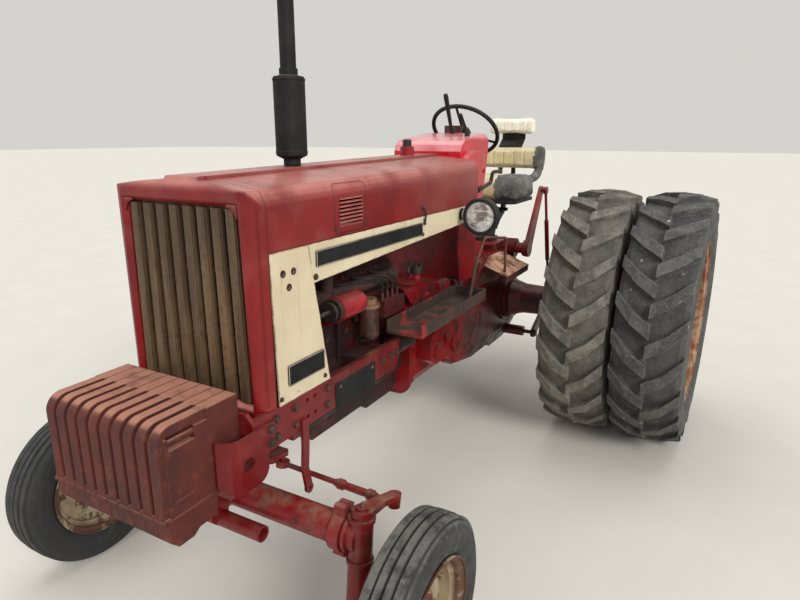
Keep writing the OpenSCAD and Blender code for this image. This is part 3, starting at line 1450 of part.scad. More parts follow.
drawbar_z = [380, 412];
drawbar_y = [520, 1950];
drawbar_half = 38;
pin_y = 1900;
pin_hole_r = 15;
module drawbar() {
  color(steel) {
    difference() {
      plan_shape(drawbar_z[0], drawbar_z[1]) {
        translate([-drawbar_half, drawbar_y[0]]) square([2 * drawbar_half, pin_y + 12 - drawbar_y[0]]);
        translate([0, pin_y + 12]) circle(r = drawbar_half);
      }
      translate([0, pin_y, 0]) z_cyl(pin_hole_r, drawbar_z[0] - past, drawbar_z[1] + past);
    }
    difference() {
      plan_shape(drawbar_z[1], 430 - seat_gap) round_rect([-150, 1010], [150, 1120], 16);
      for (x = [-125 : 50 : 125]) translate([x, 1092, 0]) z_cyl(9, drawbar_z[1] - past, drawbar_z[1] + 20);
    }
    box([-50, drawbar_y[0], drawbar_z[1] - past], [50, drawbar_y[0] + 90, 480 - seat_gap]);
  }
}
module pto_shaft() {
  color(steel) translate([0, transmission_y1, pto_z]) {
    y_cyl(pto_journal_r, -100, pto_boss);
    y_cyl(pto_r, pto_boss, pto_boss + pto_len);
  }
}
lift_arm_x = 330;
lift_rest = 58;
arm_plate_t = 24;
arm_eye_r = 30;
arm_root_r = 60;
lift_pin_r = 12;
function arm_point(r) = [lift_y + r * cos(lift_rest), lift_z + r * sin(lift_rest)];
module lift_arms() {
  eye = arm_point(lift_arm_len);
  color(red) {
    translate([0, lift_y, lift_z]) x_cyl(shaft_r, -lift_arm_x - 16, lift_arm_x + 16);
    both_sides() {
      difference() {
        union() {
          side_shape(lift_arm_x - arm_plate_t / 2, lift_arm_x + arm_plate_t / 2) hull() {
            translate([lift_y, lift_z]) circle(r = arm_root_r, $fn = hull_fn);
            translate(eye) circle(r = arm_eye_r, $fn = hull_fn);
          }
          translate([0, lift_y, lift_z]) x_cyl(arm_root_r - 4, lift_arm_x - 28, lift_arm_x + 16);
        }
        translate(concat(0, eye)) x_cyl(lift_pin_r + run_gap, lift_arm_x - 30, lift_arm_x + 30);
      }
    }
  }
}
link_pivot_y = 1105;
link_pivot_z = 500;
link_pin_r = 14;
link_t = 24;
link_half = 34;
lift_link_x = lift_arm_x + 36;
link_rest = 26;
link_x = 404;
link_mid = 560;
function link_point(r) = [link_pivot_y + r * cos(link_rest), link_pivot_z + r * sin(link_rest)];
open_eye_gap = 14;
open_eye_r = 38;
top_eye_r = 26;
eye_half = 13;
link_rod_r = 10;
link_sleeve_r = 16;
module lift_link() {
  a = concat(lift_link_x, arm_point(lift_arm_len));
  b = concat(lift_link_x, link_point(link_mid));
  color(red) difference() {
    union() {
      translate([0, a[1], a[2]]) x_cyl(lift_pin_r, lift_arm_x - 14, lift_link_x);
      translate([0, a[1], a[2]]) x_cyl(top_eye_r, lift_link_x - eye_half, lift_link_x + eye_half);
      bar(a, b, link_rod_r);
      bar(along(a, b, 0.3), along(a, b, 0.72), link_sleeve_r);
      translate([0, b[1], b[2]]) x_cyl(open_eye_r, lift_link_x - eye_half, lift_link_x + eye_half);
    }
    translate([0, b[1], b[2]]) x_cyl(lift_pin_r + open_eye_gap, lift_link_x - 30, lift_link_x + 30);
  }
}
module lift_link_left() lift_link();
module lift_link_right() mirror([1, 0, 0]) lift_link();
module lower_link() {
  p = link_point(lower_link_len);
  m = link_point(link_mid);
  color(red) difference() {
    union() {
      side_shape(link_x, link_x + link_t) hull() {
        translate([link_pivot_y, link_pivot_z]) circle(r = link_half, $fn = hull_fn);
        translate(p) circle(r = link_half, $fn = hull_fn);
      }
      translate([0, m[0], m[1]]) x_cyl(lift_pin_r, lift_arm_x + 10, link_x + past);
      translate([0, m[0], m[1]]) x_cyl(lift_pin_r + 8, link_x + link_t - past, link_x + link_t + 8);
    }
    translate([0, p[0], p[1]]) x_cyl(link_ball_r, link_x - past, link_x + link_t + past);
    translate([0, link_pivot_y, link_pivot_z])
      x_cyl(link_pin_r + run_gap, link_x - past, link_x + link_t + past);
  }
}
module lower_link_left() lower_link();
module lower_link_right() mirror([1, 0, 0]) lower_link();

side_rails();
front_bolster();
weight_bracket();
front_weights();
nose_shell();
grille();
radiator();
side_panels();
hood_front();
hood_rear();
side_stripes();
blank_plates();
dash_support();
fuel_tank();
engine_block();
cylinder_head();
manifold();
engine_fan();
side_units();
muffler_stack();
fuel_filler();
clutch_housing();
transmission_case();
axle_housings();
console();
steering_column();
headlamps();
lamp_lenses();
battery_tray();
stay_frame();
platforms();
pedals();
seat_frame();
seat_cushion();
seat_back_lower();
seat_back_upper();
control_levers();
drawbar();
pto_shaft();
front_axle();
knuckle_left();
knuckle_right();
steering_arm();
tie_rod_left();
tie_rod_right();
front_tyre_left();
front_tyre_right();
front_rim_left();
front_rim_right();
rear_tyres_left();
rear_tyres_right();
rear_rims_left();
rear_rims_right();
steering_wheel();
lift_arms();
lift_link_left();
lift_link_right();
lower_link_left();
lower_link_right();
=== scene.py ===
import math
import random

import bmesh
import bpy
from mathutils import Matrix, Vector, noise


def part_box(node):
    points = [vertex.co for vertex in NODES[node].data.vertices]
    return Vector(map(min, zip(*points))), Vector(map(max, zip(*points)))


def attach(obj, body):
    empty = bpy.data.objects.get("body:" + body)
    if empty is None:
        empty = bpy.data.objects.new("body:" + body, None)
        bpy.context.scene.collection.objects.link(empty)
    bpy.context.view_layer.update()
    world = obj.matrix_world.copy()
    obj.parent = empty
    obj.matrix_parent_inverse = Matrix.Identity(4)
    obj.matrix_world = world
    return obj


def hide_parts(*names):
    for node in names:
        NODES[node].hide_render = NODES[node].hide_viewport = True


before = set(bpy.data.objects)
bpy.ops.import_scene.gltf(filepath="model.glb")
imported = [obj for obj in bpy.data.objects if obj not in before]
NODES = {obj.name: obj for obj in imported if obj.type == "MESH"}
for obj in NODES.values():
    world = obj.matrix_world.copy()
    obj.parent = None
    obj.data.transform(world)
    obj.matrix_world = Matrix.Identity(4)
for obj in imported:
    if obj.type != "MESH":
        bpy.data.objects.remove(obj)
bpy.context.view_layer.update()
SEED = 7
random.seed(SEED)
X, Y, Z = Vector((1, 0, 0)), Vector((0, 1, 0)), Vector((0, 0, 1))
SIDES = (("left", 1), ("right", -1))

# Where things stand, in metres: the front wheels' axle and the rear ones' as y and z
FRONT_AXLE, REAR_AXLE = (-1.53, 0.35), (1.006, 0.776)
# Faces that look sideways: the hood and its panels, the plates set on them, the front bolster, the clutch
# housing where its bolts and where the guard sit, the axle housings' flanges, hubs, discs and outer rims
PANEL_X, BADGE_X, BOLSTER_X = 0.321, 0.326, 0.333
CASE_X, HOUSING_X, FLANGE_X = 0.2155, 0.219, 0.6
FRONT_HUB_X, REAR_DISC_X, OUTER_RIM_X = 0.852, 1.34, 1.294
BLOCK_X, COVER_NUT_X, HEAD_NUT_X = 0.143, 0.086, 0.110
# Circles that bolts and nuts stand on
FLANGE_CIRCLE, FRONT_HUB_CIRCLE, REAR_DISC_CIRCLE = 0.132, 0.065, 0.152
KING_PIN_LEAN, KING_PIN_FOOT = math.radians(6), (0.612, -1.509, 0.549)
NOSE_FRONT, OPENING_TOP, OPENING_HALF = -1.628, 1.662, 0.250
CORNER_R, CORNER_LAP = 0.034, 0.009
FAN_AT_Z, CRANK_AT_Z, BELT_Y = 1.235, 0.785, -1.321
GENERATOR_X, GENERATOR_Z = 0.235, 1.203
TANK_Z = 1.65
HAND_X = 0.2513
FIRST_BORE_Y, BORE_PITCH = -1.178, 0.1393
LAMP_X, LAMP_Y, LAMP_Z, LENS_R = 0.450, -0.110, 1.477, 0.0797
# The pressed panel round the louvres: its middle and half its sides, along and up
LOUVRE_PANEL, LOUVRE_HALF = (-1.094, 1.6165), (0.105, 0.0905)
# Louvres: first and last y, lowest slot, pitch, height of a slot, count
LOUVRES = (-1.172, -1.016, 1.557, 0.014143, 0.007, 7)
# Centres of the grommet holes in a side panel, as y and z, and their radius
GROMMETS = ((-1.500, 1.440), (-1.446, 1.440), (-1.472, 1.390))
GROMMET_R = 0.008
# Radii on a rear tyre, from the lugs' roots to their tops, and those where its wall's fine rings fade
LUG_RADII, REAR_WALL_RADII = (0.735, 0.752), (0.72, 0.70)
FRONT_WALL_RADII = (0.325, 0.315)
# Heights between which the lens's painted glow fades out upwards: full below the foot, none above the top
GLOW_TOP, GLOW_FOOT = 1.500, 1.460
# How closely the torn cloth's folds follow each other along x, y and z
FOLD_PITCH = Vector((7, 24, 12))
FOLD_DEPTH, FLAP_DEPTH = 0.009, 0.010
TEAR_WIDTH, PLEAT_WIDTH = 0.02, 0.0055
# The seam round a cushion's front: its place as a share of the half height, its width as one too, its depth
SEAM_AT, SEAM_WIDTH, SEAM_DEPTH = 0.86, 0.03, 0.004
# Further out than any cushion reaches
NOT_TORN = 9.0
PAD_VOXEL, PAD_CELL = 0.0075, 0.018
PRESSURE, CLOTH_STIFFNESS, CLOTH_STEPS = 4, 20, 20

# Camera, light and floor

CAMERA_AT = Vector((1.5747, -2.973, 1.8755))
CAMERA_YAW, CAMERA_PITCH, CAMERA_ROLL = 29.04, 15.37, 0.137
SENSOR = 36.0
FOCAL_PX, PHOTO_W = 598.34, 800
BACKDROP = (0.66, 0.65, 0.62, 1)
SKY, SKY_STRENGTH = (0.93, 0.96, 1, 1), 0.5
# Each lamp's place, its strength and the width of its light in degrees
LAMPS = {
    "key": ((5.5, -3.4, 3.8), 2.1, 25),
    "roof": ((-1.0, 1.0, 6.0), 0.95, 60),
    "fill": ((-5.0, -3.0, 3.0), 0.4, 60),
}
FLOOR_HALF = 80


def make_camera():
    yaw, pitch, roll = (math.radians(v) for v in (CAMERA_YAW, CAMERA_PITCH, CAMERA_ROLL))
    look = Vector((-math.sin(yaw) * math.cos(pitch), math.cos(yaw) * math.cos(pitch), -math.sin(pitch)))
    right = look.cross(Z).normalized()
    up = right.cross(look)
    across = math.cos(roll) * right + math.sin(roll) * up
    rise = -math.sin(roll) * right + math.cos(roll) * up
    data = bpy.data.cameras.new("camera")
    data.sensor_width = SENSOR
    data.lens = FOCAL_PX / PHOTO_W * SENSOR
    data.clip_start, data.clip_end = 0.05, 100
    camera = bpy.data.objects.new("camera", data)
    turn = Matrix((across, rise, -look)).transposed().to_4x4()
    camera.matrix_world = Matrix.Translation(CAMERA_AT) @ turn
    bpy.context.scene.collection.objects.link(camera)
    bpy.context.scene.camera = camera


def sun_lamp(name, at, strength, softness):
    """A lamp that shines from its place to the origin."""
    data = bpy.data.lights.new(name, "SUN")
    data.energy = strength
    data.angle = math.radians(softness)
    lamp = bpy.data.objects.new(name, data)
    lamp.location = at
    lamp.rotation_mode = "QUATERNION"
    lamp.rotation_quaternion = (-Vector(at)).to_track_quat("-Z", "Y")
    bpy.context.scene.collection.objects.link(lamp)


def put(tree, value, socket):
    """Links one socket to another, or sets it to a value."""
    if isinstance(value, bpy.types.NodeSocket):
        tree.links.new(value, socket)
    else:
        socket.default_value = value


def add_node(tree, kind, *inputs, operation=None, **named):
    """A shader node; its inputs are given by place or by name."""
    node = tree.nodes.new("ShaderNode" + kind)
    if operation:
        node.operation = operation
    for value, socket in zip(inputs, node.inputs):
        put(tree, value, socket)
    for key, value in named.items():
        put(tree, value, node.inputs[key.replace("_", " ")])
    return node


def seen_as(tree, lit, colour):
    """A shader that the camera, gloss and glass see as one plain colour, and diffuse rays see as lit."""
    path = add_node(tree, "LightPath").outputs
    seen = add_node(tree, "Background", Color=colour, Strength=1)
    either = add_node(tree, "Math", path["Is Camera Ray"], path["Is Glossy Ray"], operation="ADD")
    any_ray = add_node(tree, "Math", either.outputs[0], path["Is Transmission Ray"], operation="ADD")
    any_ray.use_clamp = True
    return add_node(tree, "MixShader", any_ray.outputs[0], lit, seen.outputs[0]).outputs[0]


def make_stage():
    """World, lamps and a pale floor."""
    scene = bpy.context.scene
    scene.view_settings.view_transform = "Standard"
    world = bpy.data.worlds.new("studio")
    scene.world = world
    world.use_nodes = True
    tree = world.node_tree
    sky = tree.nodes["Background"]
    sky.inputs["Color"].default_value = SKY
    sky.inputs["Strength"].default_value = SKY_STRENGTH
    tree.links.new(seen_as(tree, sky.outputs[0], BACKDROP), tree.nodes["World Output"].inputs["Surface"])
    for name, (at, strength, softness) in LAMPS.items():
        sun_lamp(name, at, strength, softness)
    floor = bpy.data.meshes.new("floor")
    corners = [(FLOOR_HALF * x, FLOOR_HALF * y, 0) for x, y in ((-1, -1), (1, -1), (1, 1), (-1, 1))]
    floor.from_pydata(corners, [], [(0, 1, 2, 3)])
    ob = bpy.data.objects.new("floor", floor)
    scene.collection.objects.link(ob)
    p = Paint("pale_floor", roughness=0.85)
    p.colour(p.mix(p.noise(2.2, detail=6), (214, 208, 196), (227, 222, 211)))
    p.grain(60, 0.08, 0.002, detail=3)
    ob.data.materials.append(p.material)


# Materials


def linear(colour):
    """Three sRGB numbers of 0 to 255 as Blender's linear colour; a socket stays as it is."""
    if not isinstance(colour, tuple):
        return colour
    return tuple(((v / 255 + 0.055) / 1.055) ** 2.4 if v > 10 else v / 255 / 12.92 for v in colour) + (1,)


class Paint:
    """One procedural material, made with a few short calls. Its colours are sRGB numbers of 0 to 255."""

    def __init__(self, name, rounding=0.0, **sockets):
        self.material = bpy.data.materials.new(name)
        self.material.use_nodes = True
        self.tree = self.material.node_tree
        self.shader = self.tree.nodes["Principled BSDF"]
        for key, value in sockets.items():
            self.shader.inputs[key.replace("_", " ").title().replace("Ior", "IOR")].default_value = value
        coords = self.node("TexCoord").outputs
        self.at, self.facing = coords["Object"], coords["Normal"]
        self.rounded = None
        if rounding:
            self.lean(self.bevelled(rounding))

    def node(self, kind, *inputs, **named):
        return add_node(self.tree, kind, *inputs, **named)

    def bevelled(self, radius):
        """The surface's normal, rounded off at edges."""
        bevel = self.node("Bevel", Radius=radius)
        bevel.samples = 4
        return bevel.outputs[0]

    def lean(self, normal):
        """Shades the surface by a normal."""
        self.rounded = normal
        self.tree.links.new(normal, self.shader.inputs["Normal"])

    def math(self, kind, a, b=0.0):
        return self.node("Math", a, b, operation=kind).outputs[0]

    def plus(self, a, b):
        return self.math("ADD", a, b)

    def minus(self, a, b):
        return self.math("SUBTRACT", a, b)

    def both(self, a, b):
        return self.math("MULTIPLY", a, b)

    def either(self, a, b):
        return self.math("MAXIMUM", a, b)

    def size(self, a):
        return self.math("ABSOLUTE", a)

    def across(self, a, b):
        """The long side over two distances that stand square to each other."""
        return self.math("SQRT", self.plus(self.both(a, a), self.both(b, b)))

    def stretched(self, scale, offset=0):
        node = self.node("Mapping", Vector=self.at, Scale=scale, Location=(offset, offset, offset))
        return node.outputs[0]

    def noise(self, scale, detail=4, roughness=0.6, stretch=(1, 1, 1), offset=0, distortion=0.0):
        node = self.node("TexNoise", Vector=self.stretched(stretch, offset), Scale=scale, Detail=detail,
                         Roughness=roughness, Distortion=distortion)
        return node.outputs["Fac"]

    def cells(self, scale):
        """Distance from the middle of the nearest cell."""
        return self.node("TexVoronoi", Vector=self.stretched((1, 1, 1)), Scale=scale).outputs["Distance"]

    def part(self, vector, axis):
        return self.node("SeparateXYZ", vector).outputs[axis]

    def along(self, axis):
        return self.part(self.at, axis)

    def away(self, axis):
        """Distance from the middle plane, to either side."""
        return self.size(self.along(axis))

    def step(self, value, low, high):
        """0 below low, 1 above high, smooth between; low may be above high."""
        flip = low > high
        node = self.node("MapRange", Value=value, From_Min=min(low, high), From_Max=max(low, high),
                         To_Min=1.0 if flip else 0.0, To_Max=0.0 if flip else 1.0)
        node.interpolation_type = "SMOOTHSTEP"
        return node.outputs["Result"]

    def spots(self, scale, low, high, **form):
        """Patches of noise: 0 where it is under low and 1 where it is over high."""
        return self.step(self.noise(scale, **form), low, high)

    def mix(self, factor, a, b):
        node = self.node("Mix", factor)
        node.data_type = "RGBA"
        put(self.tree, linear(a), node.inputs[6])
        put(self.tree, linear(b), node.inputs[7])
        return node.outputs[2]

    def upward(self, low=0.5, high=0.95):
        """1 on faces that look up."""
        return self.step(self.part(self.rounded or self.facing, 2), low, high)

    def edges(self, radius=0.006, low=0.015, high=0.09):
        """1 along sharp outer edges, from how far a rounded normal leans from the real one."""
        real = self.node("NewGeometry").outputs["Normal"]
        dot = self.node("VectorMath", self.bevelled(radius), real, operation="DOT_PRODUCT")
        return self.step(self.minus(1.0, dot.outputs["Value"]), low, high)

    def from_axis(self, y, z):
        """Distance from a line along X."""
        return self.across(self.minus(self.along(1), y), self.minus(self.along(2), z))

    def inside(self, low, high, soft=0.002):
        """1 inside a box and 0 outside; None leaves a side open."""
        mask = 1.0
        for axis in range(3):
            at = self.along(axis)
            if low[axis] is not None:
                mask = self.both(mask, self.step(at, low[axis] - soft, low[axis] + soft))
            if high[axis] is not None:
                mask = self.both(mask, self.step(at, high[axis] + soft, high[axis] - soft))
        return mask

    def outline(self, middle, half, r):
        """Distance from the line of a rounded rectangle that lies in the YZ plane."""
        reach = [self.either(self.minus(self.size(self.minus(self.along(axis), m)), h - r), 0.0)
                 for axis, m, h in zip((1, 2), middle, half)]
        return self.size(self.minus(self.across(*reach), r))

    def colour(self, value):
        """The colour that later coats lie on."""
        self.ground = value
        put(self.tree, value, self.shader.inputs["Base Color"])

    def base(self, a, b, scale, low, high, **form):
        """A ground of two colours in soft patches."""
        self.colour(self.mix(self.spots(scale, low, high, **form), a, b))

    def coat(self, mask, colour, amount=1.0):
        """Lays a colour over the ground, where mask is 1."""
        if amount != 1.0:
            mask = self.both(mask, amount)
        self.colour(self.mix(mask, self.ground, colour))

    def rough(self, value, low, high):
        """Roughness, low where value is 0 and high where it is 1."""
        node = self.node("MapRange", Value=value, To_Min=low, To_Max=high)
        self.tree.links.new(node.outputs["Result"], self.shader.inputs["Roughness"])

    def sheen(self, scale, low, high, **form):
        """Roughness that wanders between low and high."""
        self.rough(self.noise(scale, **form), low, high)

    def grain(self, scale, strength, distance, **form):
        """Unevenness from noise."""
        self.bump(self.noise(scale, **form), strength, distance)

    def bump(self, height, strength, distance):
        node = self.node("Bump", Strength=strength, Distance=distance, Height=height)
        if self.rounded:
            self.tree.links.new(self.rounded, node.inputs["Normal"])
        self.lean(node.outputs[0])


RUST, RUST_DARK, RUST_BRIGHT = (104, 62, 44), (62, 40, 33), (150, 88, 56)
GREASE, DUST = (30, 22, 20), (158, 128, 108)


def red_paint(name, base, deep, faded_and_glare_tone, grease=0.35, dust=0.3, chips=0.5, gloss=0.34, bleach_and_glare_up=0.0, haze=0.25,
              rounding=0.004, touch=None):
    """Old red enamel: uneven colour, grease in patches and runs, dust on top, chips down to rust at the
    edges.
    """
    p = Paint(name, rounding, coat_weight=0.1 if gloss < 0.4 else 0.0, coat_roughness=0.2,
              specular_ior_level=0.35)
    p.base(base, deep, 2.6, 0.35, 0.68, detail=5)
    p.coat(p.spots(9, 0.45, 0.75, detail=6, offset=3), faded_and_glare_tone, haze)
    # Faces that look up turn pale: sun bleaching on the hood, a painted highlight on the cowl.
    if bleach_and_glare_up:
        bleach_and_glare_mask = p.both(p.upward(0.08, 0.7), p.spots(5, 0.15, 0.65, detail=7, offset=1))
        p.coat(bleach_and_glare_mask, faded_and_glare_tone, bleach_and_glare_up)
    if touch:
        touch(p)
    grime = p.spots(5.5, 0.66 - grease * 0.4, 0.78 - grease * 0.34, detail=9, roughness=0.75, offset=11)
    p.coat(grime, GREASE, 0.85)
    runs = p.spots(7, 0.58, 0.8, stretch=(2.2, 2.2, 0.22), offset=5)
    p.coat(runs, GREASE, grease * 0.7)
    dusty = p.both(p.upward(0.4, 1.0), p.spots(14, 0.3, 0.75, detail=6))
    p.coat(dusty, DUST, dust)
    spots = p.spots(38, 0.71 - chips * 0.06, 0.75 - chips * 0.04, detail=5, roughness=0.7, offset=2)
    worn = p.both(p.edges(), p.spots(26, 0.5 - chips * 0.1, 0.62, offset=9))
    bare = p.either(p.both(spots, min(1.0, chips + 0.2)), p.both(worn, chips))
    p.coat(bare, p.mix(p.noise(90, detail=3), RUST_DARK, RUST))
    p.rough(p.plus(p.either(bare, p.both(grime, 0.6)), p.both(p.noise(18, detail=5), 0.25)), gloss, 0.8)
    p.bump(p.plus(p.both(bare, -0.5), p.both(p.noise(120, detail=3), 0.25)), 0.35, 0.0012)
    p.grain(3.5, 0.25, 0.006, detail=2)
    return p


def hood_marks(p):
    """The rear hood's dull brown bloom, and the pressed line round each louvre panel with painted shade
    along it.
    """
    bloom = p.both(p.step(p.along(1), -0.85, -0.2), p.spots(3, 0.25, 0.6, detail=7, offset=6))
    p.coat(bloom, (138, 66, 56), 0.6)
    line = p.step(p.outline(LOUVRE_PANEL, LOUVRE_HALF, 0.018), 0.0035, 0.001)
    line = p.both(line, p.step(p.away(0), 0.29, 0.3))
    p.bump(p.both(line, -1.0), 0.9, 0.004)
    # The dark along the pressed line is painted shade in its groove.
    p.coat(line, (70, 22, 22), 0.6)


def unit_marks(p):
    """Brown oil canister with a tan head; dark ends, black pump heads and a black distributor cap, whose
    dark is partly painted shade of the engine bay.
    """
    canister = p.inside((None, -0.880, 1.000), (None, -0.770, 1.200))
    p.coat(canister, p.mix(p.spots(30, 0.4, 0.65, detail=6), (74, 46, 38), (46, 30, 26)))
    head = p.both(canister, p.step(p.along(2), 1.146, 1.149))
    p.coat(head, p.mix(p.noise(40, detail=5), (150, 112, 82), (98, 66, 48)))
    # The dark boxes are partly black parts and partly painted shade of the engine bay.
    dark = p.inside((0.180, -1.160, None), (None, -1.097, None))
    dark = p.either(dark, p.inside((None, -0.300, 1.180), (None, -0.190, None)))
    dark = p.either(dark, p.inside((None, -0.640, 0.840), (None, -0.420, 1.000)))
    dark = p.either(dark, p.both(p.inside((None, -0.700, 1.050), (None, -0.490, None)), 0.8))
    p.coat(dark, p.mix(p.noise(25, detail=5), (30, 28, 27), (54, 46, 41)))


def case_shade_and_oil(p):
    """Painted shade, partly old oil, darkens the gear case behind the clutch housing, in patches and towards
    the bottom.
    """
    shade_and_oil = p.both(p.step(p.along(1), 0.1, 0.3), p.spots(5, 0.2, 0.6, detail=6, offset=7))
    shade_and_oil = p.both(shade_and_oil, p.step(p.along(2), 1.14, 1.04))
    p.coat(shade_and_oil, (40, 20, 18), 0.75)


def axle_marks(p):
    """Paint worn through to brown on the upper sides."""
    worn = p.spots(6, 0.5, 0.58, detail=9, roughness=0.78, offset=21)
    p.coat(p.both(worn, p.upward(-0.2, 0.5)), (112, 76, 64), 0.8)


def cowl_marks(p):
    """The brown bracket plate that stands on the cowl."""
    plate = p.inside((-0.080, 0.554, 1.893), (0.060, 0.566, None))
    p.coat(plate, p.mix(p.noise(30, detail=6), (84, 58, 46), (52, 40, 34)))


def cap_marks(p):
    """Black cap on the filler's red neck."""
    p.coat(p.step(p.along(2), 1.8165, 1.8185), p.mix(p.noise(30), (24, 24, 25), (46, 44, 42)))


def rusty(name, base, deep, bright, patches=None, dust=0.3, rounding=0.003, top=None, cover=(0.26, 0.5)):
    """Rusty iron; top is the colour of faces that look up, and cover says how much of them it takes."""
    p = Paint(name, rounding)
    p.base(base, deep, 6, 0.35, 0.65, detail=8, roughness=0.7)
    p.coat(p.spots(22, 0.55, 0.72, detail=6, offset=4), bright, 0.6)
    if patches:
        p.coat(p.spots(7.5, 0.54, 0.6, detail=3, offset=8), patches)
    if top:
        worn = p.both(p.upward(0.7, 0.9), p.spots(7, *cover, detail=8, roughness=0.75, offset=2))
        p.coat(worn, top)
    dusty = p.both(p.upward(0.4, 1.0), p.spots(10, 0.3, 0.7, detail=6, offset=1))
    p.coat(dusty, DUST, dust)
    p.coat(p.edges(0.005), bright, 0.35)
    p.sheen(30, 0.6, 0.9, detail=5)
    p.grain(150, 0.5, 0.0015, detail=5, roughness=0.7)
    p.grain(28, 0.4, 0.003, detail=5)
    return p


def cream_paint():
    """Aged cream enamel with rust at its edges and brown runs."""
    p = Paint("cream_paint", rounding=0.002)
    p.base((224, 209, 176), (208, 191, 157), 3, 0.3, 0.7, detail=6)
    runs = p.spots(9, 0.55, 0.8, detail=5, stretch=(3, 3, 0.25), offset=2)
    p.coat(runs, (150, 122, 88), 0.35)
    worn = p.both(p.edges(0.009, 0.01, 0.08), p.spots(30, 0.42, 0.6, detail=5))
    spots = p.spots(45, 0.68, 0.72, detail=5, roughness=0.7, offset=6)
    bare = p.either(p.both(worn, 0.8), spots)
    p.coat(bare, p.mix(p.noise(80), RUST_DARK, RUST))
    p.rough(p.plus(bare, p.both(p.noise(20, detail=5), 0.3)), 0.34, 0.8)
    p.bump(p.plus(p.both(bare, -0.5), p.both(p.noise(110, detail=3), 0.2)), 0.3, 0.001)
    return p


def grille_metal():
    """Tan anodised slats, dull, with dark dirt and pale streaks; painted shade deepens toward the top."""
    p = Paint("grille_metal", metallic=0.35, rounding=0.002)
    p.base((118, 93, 66), (82, 63, 45), 5, 0.3, 0.7, detail=6, stretch=(3, 3, 0.35))
    p.coat(p.spots(40, 0.5, 0.7, detail=5, offset=3), (64, 48, 36), 0.6)
    streak = p.spots(26, 0.56, 0.72, stretch=(2.5, 1, 0.08), offset=5)
    p.coat(streak, (150, 124, 90), 0.35)
    # Painted shade: darker toward the top of the grille.
    p.coat(p.step(p.along(2), 1.35, 1.66), (66, 52, 40), 0.45)
    p.sheen(35, 0.38, 0.7)
    p.grain(90, 0.35, 0.001, stretch=(1, 1, 0.15))
    return p


def black_metal(name, base=(30, 30, 31), pale=(64, 60, 56), gloss=0.42, rust=0.25, dust=0.5):
    """Painted or rubbed black parts."""
    p = Paint(name, rounding=0.002, specular_ior_level=0.3)
    p.base(base, pale, 8, 0.35, 0.7, detail=6)
    dusty = p.both(p.upward(), p.spots(16, 0.3, 0.7, detail=6, offset=2))
    p.coat(dusty, DUST, dust)
    worn = p.either(p.both(p.edges(0.004), 0.5), p.spots(40, 0.64, 0.7, detail=5, offset=7))
    p.coat(worn, RUST, rust * 2)
    p.sheen(25, gloss, gloss + 0.3, detail=5)
    p.grain(130, 0.25, 0.0008, detail=3)
    return p


def rear_tyre():
    """Worn rubber: dusty between the lugs, dark and speckled on top of them, brown on the inner tyre."""
    p = Paint("rear_tyre", rounding=0.009)
    r = p.from_axis(*REAR_AXLE)
    outer = p.step(p.away(0), 1.07, 1.09)
    valley = p.mix(outer, p.mix(p.spots(7, 0.3, 0.7, detail=7), (73, 70, 65), (110, 104, 94)),
                   p.mix(p.spots(6, 0.3, 0.7, detail=7, offset=5), (52, 53, 54), (84, 83, 79)))
    rubber = p.mix(outer, (84, 81, 76), (64, 64, 63))
    dusty = p.mix(outer, (128, 122, 110), (96, 95, 90))
    top = p.mix(p.spots(9, 0.36, 0.62, detail=8, roughness=0.75, offset=2), rubber, dusty)
    p.colour(p.mix(p.step(r, *LUG_RADII), valley, top))
    blots = p.spots(16, 0.6, 0.67, detail=8, roughness=0.8, offset=9)
    p.coat(p.both(blots, p.plus(p.both(outer, 0.3), 0.3)), (160, 154, 142))
    specks = p.spots(70, 0.57, 0.66, detail=6, roughness=0.8, offset=3)
    p.coat(specks, (156, 152, 142), 0.5)
    pits = p.spots(48, 0.6, 0.7, detail=6, roughness=0.8, offset=6)
    p.coat(pits, (36, 35, 34), 0.6)
    splash = p.step(p.cells(9), 0.1, 0.05)
    p.coat(p.both(splash, p.spots(30, 0.48, 0.55, offset=4)), (196, 190, 176), 0.8)
    frayed = p.both(p.edges(0.010, 0.02, 0.1), p.spots(34, 0.4, 0.6, detail=6, roughness=0.75, offset=1))
    p.coat(frayed, (146, 141, 130), 0.75)
    p.sheen(22, 0.6, 0.92, detail=5)
    rings = p.both(p.math("SINE", p.both(r, 900)), p.step(r, *REAR_WALL_RADII))
    p.bump(p.both(rings, p.spots(2, 0.2, 0.9)), 0.12, 0.002)
    p.grain(75, 0.8, 0.007, detail=7, roughness=0.75)
    p.grain(17, 0.7, 0.016)
    return p


def front_tyre():
    """Ribbed tyres with pale scuffs; the right one is made darker all over."""
    p = Paint("front_tyre", rounding=0.004)
    r = p.from_axis(*FRONT_AXLE)
    p.base((34, 35, 36), (60, 60, 58), 9, 0.3, 0.7, detail=7)
    tread = p.both(p.step(r, 0.32, 0.336), p.spots(18, 0.3, 0.6, detail=7, roughness=0.7))
    p.coat(tread, (108, 106, 98), 0.8)
    scuffs = p.spots(26, 0.56, 0.68, detail=7, roughness=0.75, offset=4)
    p.coat(scuffs, (132, 128, 118), 0.55)
    p.coat(p.both(p.step(r, 0.343, 0.336), p.step(r, 0.33, 0.335)), (44, 42, 40))
    p.coat(p.step(p.along(0), 0.1, -0.1), (34, 35, 36), 0.8)
    p.sheen(26, 0.6, 0.9, detail=5)
    p.bump(p.both(p.math("SINE", p.both(r, 1400)), p.step(r, *FRONT_WALL_RADII)), 0.2, 0.0015)
    p.grain(95, 0.55, 0.003, detail=6, roughness=0.7)
    return p


